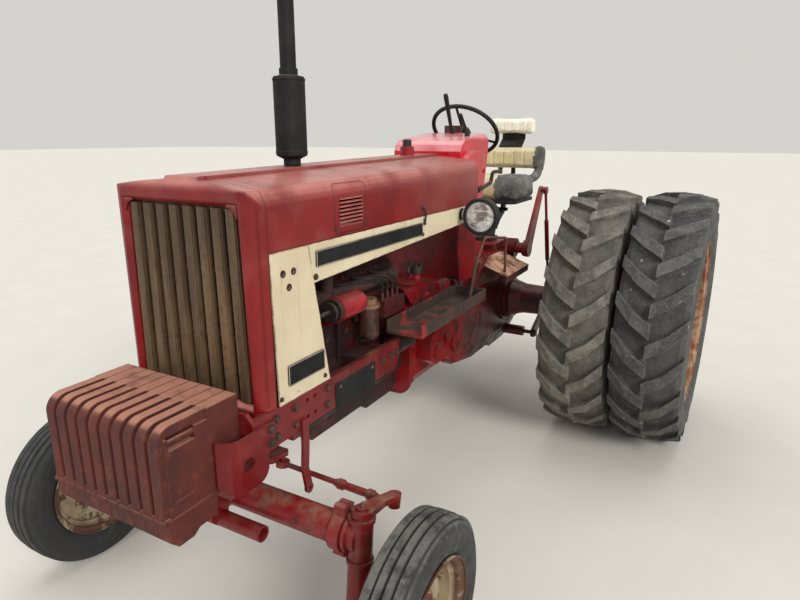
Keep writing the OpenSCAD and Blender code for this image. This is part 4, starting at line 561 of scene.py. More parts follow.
def front_rim():
    """Cream dish with rust at the bead, and a red hub."""
    p = Paint("front_rim", rounding=0.002)
    r = p.from_axis(*FRONT_AXLE)
    cream = p.mix(p.spots(9, 0.35, 0.7, detail=7), (168, 154, 124), (128, 108, 82))
    rust = p.mix(p.noise(40, detail=5), RUST_DARK, RUST)
    eaten = p.spots(16, 0.5, 0.6, detail=7, roughness=0.7, offset=3)
    rim = p.either(eaten, p.both(p.step(r, 0.17, 0.21), p.spots(12, 0.36, 0.5, detail=6, offset=8)))
    p.colour(p.mix(rim, cream, rust))
    p.coat(p.step(r, 0.083, 0.081), p.mix(p.spots(20, 0.4, 0.65, detail=6), (112, 36, 32), (70, 42, 34)))
    p.sheen(30, 0.5, 0.85, detail=5)
    p.bump(p.both(rim, p.noise(140)), 0.5, 0.001)
    return p


def rear_rim():
    """Rusty pale rim with dark red discs."""
    p = Paint("rear_rim", rounding=0.003)
    r = p.from_axis(*REAR_AXLE)
    pale = p.mix(p.spots(10, 0.35, 0.7, detail=7), (178, 152, 122), (154, 108, 74))
    rust = p.mix(p.noise(30, detail=6), RUST, (158, 92, 58))
    p.base(pale, rust, 13, 0.45, 0.58, detail=7, roughness=0.7, offset=6)
    red = p.mix(p.spots(8, 0.4, 0.65, detail=6, offset=2), (106, 32, 30), (72, 34, 30))
    red = p.mix(p.both(p.spots(30, 0.6, 0.7, detail=6), 0.7), red, RUST)
    p.coat(p.step(r, 0.448, 0.444), red)
    p.sheen(30, 0.5, 0.85, detail=5)
    p.grain(110, 0.4, 0.0015, detail=5)
    return p


def lens_glass():
    """Pressed lamp glass with upright flutes and cross bars, with painted reflections, a painted glow low in
    it and painted shade in its flutes.
    """
    p = Paint("lens_glass", roughness=0.12, metallic=0.25, coat_weight=1.0, coat_roughness=0.03)
    flutes = p.size(p.math("SINE", p.both(p.along(0), 420)))
    # The pale and grey streaks are painted reflections in the glass.
    streaks = p.spots(30, 0.42, 0.6, detail=3, stretch=(0.5, 1, 1.3))
    p.colour(p.mix(streaks, (220, 217, 212), (122, 116, 110)))
    # A painted highlight: a bright glow low in the lens, though the lamp is not lit.
    glow = p.spots(13, 0.35, 0.6, detail=2, stretch=(0.8, 1, 1.2), offset=4)
    p.coat(p.both(p.step(p.along(2), GLOW_TOP, GLOW_FOOT), glow), (252, 251, 248))
    # Painted shade in the flutes' grooves.
    p.coat(p.step(flutes, 0.25, 0.05), (90, 84, 80), 0.5)
    p.bump(flutes, 0.8, 0.002)
    p.bump(p.math("SINE", p.both(p.along(2), 150)), 0.4, 0.002)
    return p


def cream_vinyl(name, worn=(196, 178, 130), fair=(216, 202, 160)):
    """Stitched seat vinyl with a fine grain."""
    p = Paint(name)
    p.base(fair, worn, 8, 0.35, 0.7, detail=7)
    p.coat(p.spots(26, 0.58, 0.7, detail=6, offset=5), (142, 120, 84), 0.5)
    p.bump(p.cells(520), 0.25, 0.0006)
    p.grain(12, 0.35, 0.004)
    p.sheen(30, 0.42, 0.66)
    return p


def torn_cloth():
    """The grey backing cloth that shows where the vinyl is torn: its pale and dark patches are partly
    painted highlight and shade, and its dark crease lines are painted shade.
    """
    p = Paint("torn_cloth")
    p.base((128, 126, 118), (86, 84, 79), 9, 0.35, 0.65, detail=6)
    crease = p.noise(7, detail=3, offset=3, distortion=2.5)
    # Painted shade: dark lines where creases would fall.
    p.coat(p.both(p.step(crease, 0.49, 0.5), p.step(crease, 0.53, 0.51)), (44, 42, 39), 0.7)
    p.grain(300, 0.35, 0.0008, detail=2)
    p.grain(8, 0.6, 0.006, detail=3, stretch=(0.6, 1.8, 1), distortion=1.5)
    p.sheen(30, 0.75, 0.95)
    return p


def plain_coat(name, a, b, roughness=(0.4, 0.6), metallic=0.0, bump=0.2, grain=90):
    """Two colours in soft patches, for small parts."""
    p = Paint(name, rounding=0.001, metallic=metallic)
    p.base(a, b, 14, 0.35, 0.7, detail=6)
    p.sheen(30, *roughness)
    p.grain(grain, bump, 0.001)
    return p


MATERIALS = {}


def make_materials():
    MATERIALS.update(
        hood=red_paint("hood_red", (130, 12, 16), (108, 8, 12), (206, 134, 122), grease=0.1, dust=0.15,
            chips=0.25, gloss=0.3, bleach_and_glare_up=0.75, haze=0.08, rounding=0.014, touch=hood_marks),
        chassis=red_paint("chassis_red", (134, 10, 17), (96, 10, 14), (150, 44, 40), grease=0.42, dust=0.2,
            chips=0.45, touch=case_shade_and_oil),
        rail=red_paint("rail_red", (110, 10, 16), (84, 10, 13), (168, 78, 68), grease=0.2, dust=0.25,
            gloss=0.3),
        axle=red_paint("axle_red", (142, 16, 24), (106, 16, 19), (162, 98, 78), grease=0.3, dust=0.7,
            chips=0.7, gloss=0.36, haze=0.35, touch=axle_marks),
        block=red_paint("engine_red", (94, 8, 13), (46, 8, 12), (130, 22, 26), grease=0.7, dust=0.1,
            chips=0.3),
        # The units' bright red is partly touch-up paint and partly painted light, raised so the generator
        # looks lit.
        units=red_paint("unit_red", (164, 34, 42), (122, 20, 26), (184, 104, 100), chips=0.3, gloss=0.24,
            touch=unit_marks),
        # The cowl's pale pink on faces that look up is a painted highlight, standing for the skylight's
        # gloss on its top.
        cowl=red_paint("cowl_red", (206, 12, 34), (180, 8, 26), (244, 190, 190), grease=0.05, dust=0.0,
            chips=0.3, gloss=0.14, bleach_and_glare_up=0.65, haze=0.06, rounding=0.008, touch=cowl_marks),
        filler=red_paint("filler_red", (160, 14, 24), (130, 12, 18), (180, 80, 76), grease=0.2,
            touch=cap_marks),
        guard=red_paint("guard_red", (158, 14, 28), (116, 10, 18), (206, 110, 110), grease=0.5, dust=0.1,
            chips=0.3, gloss=0.2),
        weights=rusty("weight_iron", (92, 34, 26), (66, 27, 22), (122, 60, 44), dust=0.2, rounding=0.008,
            top=(172, 116, 92)),
        rust=rusty("old_rust", RUST, RUST_DARK, RUST_BRIGHT, dust=0.4),
        # The manifold's rust is darker than the old rust partly as painted shade of the engine bay.
        manifold=rusty("manifold_rust", (66, 40, 34), (40, 28, 26), (92, 58, 46), dust=0.15),
        tray=rusty("tray_rust", (70, 48, 40), (44, 34, 30), (96, 62, 48), dust=0.15, patches=(136, 40, 32)),
        plate=rusty("plate_rust", (92, 52, 44), (56, 34, 30), (120, 76, 60), dust=0.0, patches=(112, 40, 36),
            top=(190, 144, 112), cover=(0.41, 0.54)),
        cream=cream_paint(),
        grille=grille_metal(),
        black=black_metal("black_metal"),
        stack=black_metal("stack_black", (19, 19, 20), (35, 34, 34), gloss=0.55, rust=0.1),
        lamp=black_metal("lamp_rubber", (20, 20, 20), (44, 43, 41), gloss=0.45, rust=0.0, dust=0.1),
        wheel=black_metal("wheel_rubber", (22, 22, 23), (44, 43, 42), gloss=0.35, rust=0.0),
        number=black_metal("plate_black", (12, 13, 15), (30, 31, 33), gloss=0.5, rust=0.1),
        core=plain_coat("radiator_core", (26, 24, 23), (44, 38, 33), (0.6, 0.85), bump=0.6, grain=160),
        steel=plain_coat("bare_steel", (122, 112, 100), (88, 74, 62), (0.35, 0.65), metallic=0.7),
        chrome=plain_coat("dull_chrome", (190, 186, 178), (150, 142, 130), (0.16, 0.34), metallic=0.9,
            bump=0.05),
        bolt=plain_coat("bolt_steel", (92, 62, 52), (58, 42, 36), (0.45, 0.75), metallic=0.35),
        red_bolt=plain_coat("bolt_red", (120, 36, 33), (84, 34, 30), (0.4, 0.7)),
        boot=plain_coat("boot_rubber", (26, 25, 24), (48, 44, 40), (0.5, 0.8), bump=0.4),
        pale=plain_coat("pale_cup", (226, 216, 198), (196, 180, 156), (0.35, 0.6)),
        fins=plain_coat("louvre_fins", (176, 92, 84), (140, 56, 52), (0.35, 0.6)),
        lens=lens_glass(),
        vinyl=cream_vinyl("cream_vinyl"),
        # The upper pad's near-white is partly its paler vinyl and partly painted light, where the pad is
        # brightly lit.
        fresh=cream_vinyl("fair_vinyl", (238, 228, 200), (252, 246, 226)),
        torn=torn_cloth(),
        rear_tyre=rear_tyre(), front_tyre=front_tyre(), front_rim=front_rim(), rear_rim=rear_rim(),
    )


NODE_FINISH = {
    "hood": "nose_shell hood_front hood_rear",
    "rail": "side_rails front_bolster weight_bracket",
    "chassis": "clutch_housing transmission_case axle_housings lower_link_left lower_link_right pedals "
               "dash_support",
    "axle": "lift_arms lift_link_left lift_link_right front_axle knuckle_left knuckle_right steering_arm "
            "tie_rod_left tie_rod_right",
    "block": "engine_block cylinder_head fuel_tank",
    "units": "side_units",
    "filler": "fuel_filler",
    "cowl": "console",
    "weights": "front_weights",
    "rust": "stay_frame",
    "manifold": "manifold",
    "tray": "battery_tray",
    "plate": "platforms",
    "cream": "side_panels side_stripes",
    "grille": "grille",
    "black": "engine_fan steering_column control_levers",
    "number": "blank_plates",
    "core": "radiator",
    "stack": "muffler_stack",
    "lamp": "headlamps seat_frame",
    "lens": "lamp_lenses",
    "wheel": "steering_wheel",
    "steel": "drawbar pto_shaft",
    "vinyl": "seat_cushion seat_back_lower seat_back_upper",
    "rear_tyre": "rear_tyres_left rear_tyres_right",
    "front_tyre": "front_tyre_left front_tyre_right",
    "front_rim": "front_rim_left front_rim_right",
    "rear_rim": "rear_rims_left rear_rims_right",
}


def dress_nodes():
    """Gives each solid of the part its material."""
    for finish, names in NODE_FINISH.items():
        for name in names.split():
            for s in NODES[name].material_slots:
                s.material = MATERIALS[finish].material


# Mesh builders


class Piece:
    """A mesh that is gathered from several forms and becomes one object on one body.

    Edges sharper than an angle in degrees stay hard.
    """

    def __init__(self, name, finish, slot, body="chassis"):
        self.name, self.body, self.finish, self.slot = name, body, finish, slot
        self.verts, self.faces = [], []

    def add(self, verts, faces):
        start = len(self.verts)
        self.verts += [Vector(v) for v in verts]
        self.faces += [[start + i for i in f] for f in faces]

    def make(self, sharp=38):
        mesh = bpy.data.meshes.new(self.name)
        mesh.from_pydata(self.verts, [], self.faces)
        b = bmesh.new()
        b.from_mesh(mesh)
        bmesh.ops.recalc_face_normals(b, faces=b.faces)
        for f in b.faces:
            f.smooth = True
        for e in b.edges:
            e.smooth = not (len(e.link_faces) == 2 and e.calc_face_angle() > math.radians(sharp))
        b.to_mesh(mesh)
        b.free()
        ob = bpy.data.objects.new(self.name, mesh)
        bpy.context.scene.collection.objects.link(ob)
        mesh.materials.append(MATERIALS[self.finish].material)
        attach(ob, self.body)
        return ob


def basis(axis):
    """Two directions square to an axis, and the axis itself."""
    axis = Vector(axis).normalized()
    side = axis.cross(Z if abs(axis.z) < 0.9 else X).normalized()
    return side, axis.cross(side), axis


def turns(count, start=0.0):
    """Angles of count places round a circle."""
    return [2 * math.pi * (k + start) / count for k in range(count)]


def ring(middle, a, b, r, count, start=0.0):
    """Points round a circle that lies along a and b."""
    return [middle + (a * math.cos(t) + b * math.sin(t)) * r for t in turns(count, start)]


def skin(rows, count, start=0):
    """Faces between rings of count points each, which follow one another in a list."""
    faces = []
    for low in range(start, start + (rows - 1) * count, count):
        for k in range(count):
            n = (k + 1) % count
            faces.append([low + k, low + n, low + count + n, low + count + k])
    return faces


def lathe(at, axis, profile, count=24):
    """A turned form: profile is (radius, distance along axis) from one end to the other."""
    a, b, c = basis(axis)
    verts = [v for r, h in profile for v in ring(Vector(at) + c * h, a, b, r, count)]
    faces = skin(len(profile), count)
    for i in (0, len(profile) - 1):
        if profile[i][0] > 1e-6:
            faces.append([i * count + k for k in range(count)])
    return verts, faces


def torus_of(at, axis, section, count):
    """A closed section of (radius, height) points, turned right round an axis."""
    a, b, c = basis(axis)
    verts = [Vector(at) + c * h + (a * math.cos(t) + b * math.sin(t)) * r
             for t in turns(count) for r, h in section]
    n = len(section)
    last = (count - 1) * n
    return verts, skin(count, n) + [[last + i, last + (i + 1) % n, (i + 1) % n, i] for i in range(n)]


def hex_bolt(at, axis, r, height=None):
    """A hexagon head on a washer, its top edge turned off."""
    height = height or r * 0.75
    foot = r * 0.18
    a, b, c = basis(axis)
    verts, faces = lathe(at, axis, [(r * 1.35, 0), (r * 1.35, foot), (r * 1.0, r * 0.2)], 16)
    start = len(verts)
    turn = random.random()
    for radius, h in ((r, foot), (r, foot + height * 0.8), (r * 0.86, foot + height)):
        verts += ring(Vector(at) + c * h, a, b, radius, 6, turn)
    top = [start + 12 + k for k in range(6)]
    return verts, faces + skin(3, 6, start) + [top]


def smooth_path(points, steps=8):
    """A curve through all the points."""
    pts = [Vector(p) for p in points]
    out = []
    for i in range(len(pts) - 1):
        p0 = pts[i - 1] if i else pts[0] * 2 - pts[1]
        p3 = pts[i + 2] if i + 2 < len(pts) else pts[-1] * 2 - pts[-2]
        p1, p2 = pts[i], pts[i + 1]
        for k in range(steps):
            t = k / steps
            out.append(0.5 * (2 * p1 + (p2 - p0) * t + (2 * p0 - 5 * p1 + 4 * p2 - p3) * t * t
                              + (3 * p1 - p0 - 3 * p2 + p3) * t ** 3))
    out.append(pts[-1])
    return out


def tube(points, r, count=10, smooth=True):
    """A round tube along a path."""
    path = smooth_path(points) if smooth else [Vector(p) for p in points]
    side = basis(path[1] - path[0])[0]
    verts = []
    for i, p in enumerate(path):
        way = (path[min(i + 1, len(path) - 1)] - path[max(i - 1, 0)]).normalized()
        side = (side - way * side.dot(way)).normalized()
        verts += ring(p, side, way.cross(side), r, count)
    last = len(verts) - count
    return verts, skin(len(path), count) + [list(range(count)), list(range(last, len(verts)))]


def prism(base, way):
    """A flat four-cornered base, drawn out along a way."""
    base = [Vector(v) for v in base]
    return base + [v + way for v in base], skin(2, 4) + [[0, 1, 2, 3], [7, 6, 5, 4]]


def slab(corner, u, v, w):
    """A block from a corner and its three edges."""
    c = Vector(corner)
    return prism([c, c + u, c + u + v, c + v], w)


def cushion_form(half, r, cuts):
    """A box grid with rounded edges round the origin."""
    verts, faces, known = [], [], {}

    def point(p):
        """The number of the rounded form's point over a point of the box; each is made once."""
        key = tuple(round(c, 6) for c in p)
        if key not in known:
            core = Vector([max(-h + r, min(h - r, c)) for h, c in zip(half, p)])
            out = Vector(p) - core
            known[key] = len(verts)
            verts.append(core + out.normalized() * r if out.length > 1e-9 else Vector(p))
        return known[key]

    def place(axis, end, u, i, v, j):
        """The point at cut i along u and cut j along v, on the side that looks along axis."""
        p = [half[axis] * end] * 3
        p[u] = half[u] * (2 * i / cuts[u] - 1)
        p[v] = half[v] * (2 * j / cuts[v] - 1)
        return point(p)

    for axis, u, v in ((1, 0, 2), (0, 1, 2), (2, 0, 1)):
        for end in (-1, 1):
            for i in range(cuts[u]):
                for j in range(cuts[v]):
                    faces.append([place(axis, end, u, i + di, v, j + dj)
                                  for di, dj in ((0, 0), (1, 0), (1, 1), (0, 1))])
    return verts, faces


make_camera()
make_stage()
make_materials()
dress_nodes()

# Pieces

# Rows of bolts on the frame: x, the places along y, the heights, and the size
FRAME_BOLTS = (
    (PANEL_X, (-1.57, -1.47, -1.278), (0.955, 0.89), (0.0125,)),
    (PANEL_X, (-0.87, -0.80, -0.75), (0.93,), (0.012,)),
    (BOLSTER_X, (-1.612,), (0.89, 0.94), (0.014,)),
    (PANEL_X, (-1.538, -1.29), (1.012,), (0.007,)),
    (PANEL_X, (-1.326,), (1.396,), (0.009,)),
    (PANEL_X, (-0.50,), (1.432,), (0.008,)),
    (PANEL_X, (-1.19, -0.997), (1.545,), (0.006, 0.004)),
)


def make_bolts():
    """Bolt heads, each set on the body that carries them."""
    frame_bolts = Piece("frame_bolts", "bolt", "bare_steel")
    for s in (-1, 1):
        for x, places, heights, size in FRAME_BOLTS:
            for y in places:
                for z in heights:
                    frame_bolts.add(*hex_bolt((s * x, y, z), X * s, *size))
    frame_bolts.make()

    case_bolts = Piece("case_bolts", "red_bolt", "red_paint")
    for s in (-1, 1):
        for z in (0.64, 0.74, 0.84, 0.94):
            for y in (-0.40, 0.11):
                case_bolts.add(*hex_bolt((s * CASE_X, y, z), X * s, 0.011))
        for at in ring(Vector((s * FLANGE_X, *REAR_AXLE)), Y, Z, FLANGE_CIRCLE, 12, 0.5):
            case_bolts.add(*hex_bolt(at, X * s, 0.009))
    case_bolts.make()


def ring_bolts(piece, at, radius, count, r, axis):
    """A whole piece of bolts that stand round a circle."""
    for place in ring(Vector(at), Y, Z, radius, count):
        piece.add(*hex_bolt(place, axis, r))
    piece.make()


def apply_modifiers(ob):
    """Makes the shape that the modifiers give the object's own mesh."""
    ob.data = bpy.data.meshes.new_from_object(ob.evaluated_get(bpy.context.evaluated_depsgraph_get()))
    ob.modifiers.clear()


def puff(ob, cap):
    """Remeshes a pad and inflates it with the cloth solver; no point moves further than cap."""
    scene = bpy.context.scene
    remesh = ob.modifiers.new("remesh", "REMESH")
    remesh.mode, remesh.voxel_size = "VOXEL", PAD_VOXEL
    apply_modifiers(ob)
    rest = [v.co.copy() for v in ob.data.vertices]
    cloth = ob.modifiers.new("cloth", "CLOTH")
    cloth.settings.use_pressure = True
    cloth.settings.uniform_pressure_force = PRESSURE
    cloth.settings.effector_weights.gravity = 0
    cloth.settings.tension_stiffness = cloth.settings.compression_stiffness = CLOTH_STIFFNESS
    for step in range(1, CLOTH_STEPS + 1):
        scene.frame_set(step)
    blown = ob.evaluated_get(bpy.context.evaluated_depsgraph_get()).to_mesh()
    moved = [v.co.copy() for v in blown.vertices]
    ob.modifiers.clear()
    scene.frame_set(1)
    for v, a, b in zip(ob.data.vertices, rest, moved):
        d = b - a
        v.co = a + (d * (cap / d.length) if d.length > cap else d)


def refine(ob):
    """One level of subdivision."""
    smooth = ob.modifiers.new("smooth", "SUBSURF")
    smooth.levels = smooth.render_levels = 1
    apply_modifiers(ob)


def upholster(mesh, middle, half, front, pleats, depth, torn_from):
    """Presses pleats and a seam into the whole vinyl, and crumples the torn cloth."""
    axis, rise = (2, 1) if front == Z else (1, 2)
    shift = []
    for vert in mesh.vertices:
        v = vert.co - middle
        face = max(0.0, v.dot(front) / half[axis])
        ragged = TEAR_WIDTH * noise.noise(vert.co * 30)
        torn = max(0.0, min(1.0, (v.x - torn_from - ragged) / TEAR_WIDTH))
        dip = sum(math.exp(-((v.x - c) / PLEAT_WIDTH) ** 2) for c in pleats)
        pull = -depth * dip * min(1.0, face * 1.5) * (1 - torn)
        ripple = 0.0012 * noise.noise(vert.co * 22) + 0.0022 * noise.noise(vert.co * 9)
        folds = noise.noise(vert.co * FOLD_PITCH) + 0.25 * noise.noise(vert.co * FOLD_PITCH * 2.3)
        from_seam = (abs(v[rise] / half[rise]) - SEAM_AT) / SEAM_WIDTH
        seam = -SEAM_DEPTH * math.exp(-from_seam ** 2) * face * (1 - torn)
        shift.append(vert.normal * (ripple + torn * FOLD_DEPTH * folds + seam) + front * pull)
    for vert, d in zip(mesh.vertices, shift):
        vert.co += d


def make_seat():
    """Three cushions: a pleated base whose left half is torn to crumpled cloth, and two pleated backs."""
    back_pleats, top_pleats = (-0.24, -0.16, -0.08, 0.0, 0.08, 0.16), (-0.12, -0.06, 0.0, 0.06, 0.12)
    specs = [
        # name, node, front, swell room, corner, pleats and their depth, where torn cloth starts, finish
        ("seat_base_pad", "seat_cushion", Z, 0.012, 0.045, (-0.20, -0.12, -0.04), 0.0085, 0.09, "vinyl"),
        ("seat_back_pad", "seat_back_lower", -Y, 0.010, 0.036, back_pleats, 0.0085, 0.235, "vinyl"),
        ("seat_top_pad", "seat_back_upper", -Y, 0.008, 0.028, top_pleats, 0.003, NOT_TORN, "fresh"),
    ]
    for name, node, front, room, corner, pleats, depth, torn_from, finish in specs:
        low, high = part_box(node)
        middle, half = (low + high) / 2, (high - low) / 2
        small = half - Vector((room, room, room)) * 0.5
        cuts = [max(6, int(2 * h / PAD_CELL)) for h in small]
        verts, faces = cushion_form(small, corner, cuts)
        piece = Piece(name, finish, "vinyl")
        piece.add([middle + v for v in verts], faces)
        ob = piece.make(sharp=180)
        puff(ob, room)
        refine(ob)
        mesh = ob.data
        upholster(mesh, middle, half, front, pleats, depth, torn_from)
        mesh.materials.clear()
        mesh.materials.append(MATERIALS[finish].material)
        mesh.materials.append(MATERIALS["torn"].material)
        for poly in mesh.polygons:
            poly.use_smooth = True
            at = poly.center
            edge = torn_from + TEAR_WIDTH * noise.noise(at * 30) + 0.008 * noise.noise(at * 120)
            poly.material_index = 1 if at.x - middle.x > edge else 0
        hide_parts(node)
    make_flap()


def make_flap():
    """The torn cover that hangs from the lower back's end on to the base."""
    flap = Piece("seat_flap", "torn", "vinyl")
    hang = [(0.268, 1.515, 1.690), (0.270, 1.490, 1.640), (0.258, 1.440, 1.590), (0.220, 1.385, 1.560)]
    flap.add(*tube(hang, 0.030, 28))
    ob = flap.make(sharp=180)
    for vert in ob.data.vertices:
        vert.co += vert.normal * FLAP_DEPTH * noise.noise(vert.co * FOLD_PITCH * 1.6)


def make_nipples():
    """Grease nipples on the king pins, which lean back by six degrees."""
    tilt = Vector((0, math.sin(KING_PIN_LEAN), math.cos(KING_PIN_LEAN)))
    profile = [(0.006, 0), (0.006, 0.006), (0.004, 0.008), (0.004, 0.012), (0.0055, 0.014), (0.002, 0.018)]
    for side, s in SIDES:
        nipple = Piece("king_pin_nipple_" + side, "steel", "bare_steel", "knuckle_" + side)
        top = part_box("knuckle_" + side)[1].z
        foot = Vector((s * KING_PIN_FOOT[0], *KING_PIN_FOOT[1:]))
        nipple.add(*lathe(foot + tilt * ((top - foot.z) / tilt.z - 0.002), tilt, profile, 12))
        nipple.make()


def make_nose_corners():
    """Rounded upper corners of the nose's opening, in front of the slats."""
    corners = Piece("nose_corners", "hood", "red_paint")
    for s in (-1, 1):
        middle = Vector((s * (OPENING_HALF - CORNER_R), 0, OPENING_TOP - CORNER_R))
        arc = [middle + CORNER_R * (X * s * math.cos(t) + Z * math.sin(t))
               for t in (math.pi / 2 * k / 10 for k in range(11))]
        far = Vector((s * (OPENING_HALF + CORNER_LAP), 0, OPENING_TOP + CORNER_LAP))
        edge = arc + [Vector((middle.x, 0, far.z)), far, Vector((far.x, 0, middle.z))]
        front = [v + Y * (NOSE_FRONT + 0.0035) for v in edge]
        back = [v + Y * (NOSE_FRONT + 0.0105) for v in edge]
        count = len(edge)
        fans = [[count - 2, (count - 1 + k) % count, (count + k) % count] for k in range(count - 2)]
        corners.add(front + back, skin(2, count) + fans + [[i + count for i in reversed(f)] for f in fans])
    corners.make()


def make_belt():
    """One V belt round the pulleys of crank, fan and generator."""
    belt = Piece("fan_belt", "boot", "black_metal")
    wheels = [(0.0, FAN_AT_Z, 0.062), (GENERATOR_X, GENERATOR_Z, 0.040), (0.0, CRANK_AT_Z, 0.052)]
    points = []
    for x, z, r in wheels:
        points += [(x + (r + 0.003) * math.cos(t), z + (r + 0.003) * math.sin(t)) for t in turns(48)]
    hull = convex(points)
    for half in ((0, len(hull) // 2 + 1), (len(hull) // 2, len(hull) + 1)):
        path = [(hull[k % len(hull)][0], BELT_Y, hull[k % len(hull)][1]) for k in range(*half)]
        belt.add(*tube(path, 0.006, 6, smooth=False))
    belt.make()
    pulley = Piece("generator_pulley", "black", "black_metal")
    sheave = [(0.009, 0), (0.009, 0.158), (0.040, 0.159), (0.040, 0.163), (0.034, 0.169), (0.040, 0.175),
              (0.040, 0.179), (0.016, 0.180), (0.010, 0.192)]
    pulley.add(*lathe((GENERATOR_X, -1.150, GENERATOR_Z), -Y, sheave, 32))
    pulley.make()


def make_fins():
    """A raised fin over each louvre, and a rubber ring in each grommet hole."""
    fins = Piece("louvre_fins", "fins", "red_paint")
    rings = Piece("panel_grommets", "bolt", "black_metal")
    y0, y1, z0, pitch, slot, count = LOUVRES
    section = [(GROMMET_R - 0.001, -0.001), (GROMMET_R + 0.001, 0.0025), (GROMMET_R + 0.004, 0.0025),
               (GROMMET_R + 0.005, 0.0)]
    for s in (-1, 1):
        for k in range(count):
            foot = Vector((s * (PANEL_X - 0.0004), y0 + 0.002, z0 + k * pitch + slot))
            long, out, up = Y * (y1 - y0 - 0.004), X * s * 0.0045, Z * (pitch - slot)
            low, high = foot + up * 0.12 + out, foot + up * 0.75
            fins.add(*prism([foot, foot + up * 0.85, high + out * 0.55, low], long))
        for y, z in GROMMETS:
            rings.add(*torus_of((s * (PANEL_X + 0.0002), y, z), X * s, section, 32))
    fins.make()
    rings.make()


def make_guard():
    """A folded red guard behind the tray, bolted to the clutch housing's side."""
    guard = Piece("pump_guard", "guard", "red_paint")
    back = [(HOUSING_X, -0.388, 1.034), (HOUSING_X, -0.200, 1.062), (HOUSING_X, -0.320, 1.134)]
    sheet = [Vector(p) for p in [(0.234, -0.535, 1.166)] + back]
    middle = sheet[0].lerp(sheet[3], 0.5)
    fold = [sheet[0], middle, middle - X * 0.075, sheet[0] - X * 0.085]
    for form, out in ((sheet, X), (fold, Z)):
        guard.add(*prism(form, out * -0.005))
    for y, z in ((-0.235, 1.070), (-0.375, 1.056)):
        guard.add(*hex_bolt((HOUSING_X, y, z), X, 0.009))
    guard.make()


def convex(points):
    """The outer points of a set, in order."""
    points = sorted(set(points))
    chains = []
    for run in (points, points[::-1]):
        chain = []
        for p in run:
            while len(chain) > 1 and turn_of(chain[-2], chain[-1], p) <= 0:
                chain.pop()
            chain.append(p)
        chains += chain[:-1]
    return chains


def turn_of(a, b, c):
    """Above 0 where the way from a over b to c turns left."""
    return (b[0] - a[0]) * (c[1] - a[1]) - (b[1] - a[1]) * (c[0] - a[0])


def make_hoses():
    """Radiator hoses with their clips."""
    hoses = Piece("radiator_hoses", "boot", "black_metal")
    clips = Piece("hose_clips", "steel", "bare_steel")
    routes = [
        [(0, -1.462, TANK_Z), (0, -1.43, TANK_Z), (0, -1.33, TANK_Z - 0.05), (0, -1.25, 1.44),
         (0, -1.24, 1.348)],
        [(0.14, -1.462, 1.03), (0.14, -1.43, 1.03), (0.14, -1.37, 1.035), (0.12, -1.33, 1.09),
         (0.10, -1.291, 1.12)],
    ]
    clip = [(0.0275, 0), (0.0285, 0.002), (0.0285, 0.012), (0.0275, 0.014)]
    for route in routes:
        hoses.add(*tube(route, 0.026, 16))
        for end, inner in ((0, 1), (-1, -2)):
            way = (Vector(route[inner]) - Vector(route[end])).normalized()
            clips.add(*lathe(Vector(route[end]) + way * 0.012, way, clip, 20))
    hoses.make()
    clips.make()


def make_lever_grips():
    """Thick black grips that taper over the levers on the cowl."""
    grips = Piece("lever_grips", "wheel", "black_metal")
    for x, y, top, r in ((0.0, 0.520, 2.110, 0.0135), (0.150, 0.400, 1.990, 0.010)):
        foot, head = Vector((x, y - 0.012, 1.905)), Vector((x, y - 0.112, top + 0.004))
        way = (head - foot).normalized()
        length = (head - foot).length
        taper = ((0.72, 0), (0.85, 0.3), (1, 0.7), (1.08, 0.92), (0.9, 0.985), (0.4, 1))
        grips.add(*lathe(foot, way, [(r * wide, length * high) for wide, high in taper], 16))
    sleeve = [(HAND_X, 0.400, 1.575), (HAND_X, 0.540, 1.598), (HAND_X, 0.556, 1.612), (HAND_X, 0.572, 1.648),
              (HAND_X, 0.586, 1.660), (HAND_X, 0.712, 1.662)]
    grips.add(*tube(sleeve, 0.0115, 12, smooth=False))
    grips.make()


def make_lamp_parts():
    """A pale cup round each lamp's arm and a broad black rim round its lens."""
    cups = Piece("lamp_cups", "pale", "cream_paint")
    rims = Piece("lamp_rims", "lamp", "black_metal")
    cup = [(0.018, 0), (0.026, 0.004), (0.027, 0.020), (0.020, 0.026), (0.011, 0.027)]
    rim = [(LENS_R - 0.004, -0.001), (LENS_R + 0.001, -0.007), (LENS_R + 0.009, -0.007),
           (LENS_R + 0.0155, 0.001), (LENS_R + 0.0155, 0.012), (LENS_R + 0.001, 0.001)]
    for s in (-1, 1):
        cups.add(*lathe((s * 0.330, -0.05, LAMP_Z), X * s, cup))
        rims.add(*torus_of((s * LAMP_X, LAMP_Y - 0.0005, LAMP_Z), Y, rim, 64))
    cups.make()
    rims.make()


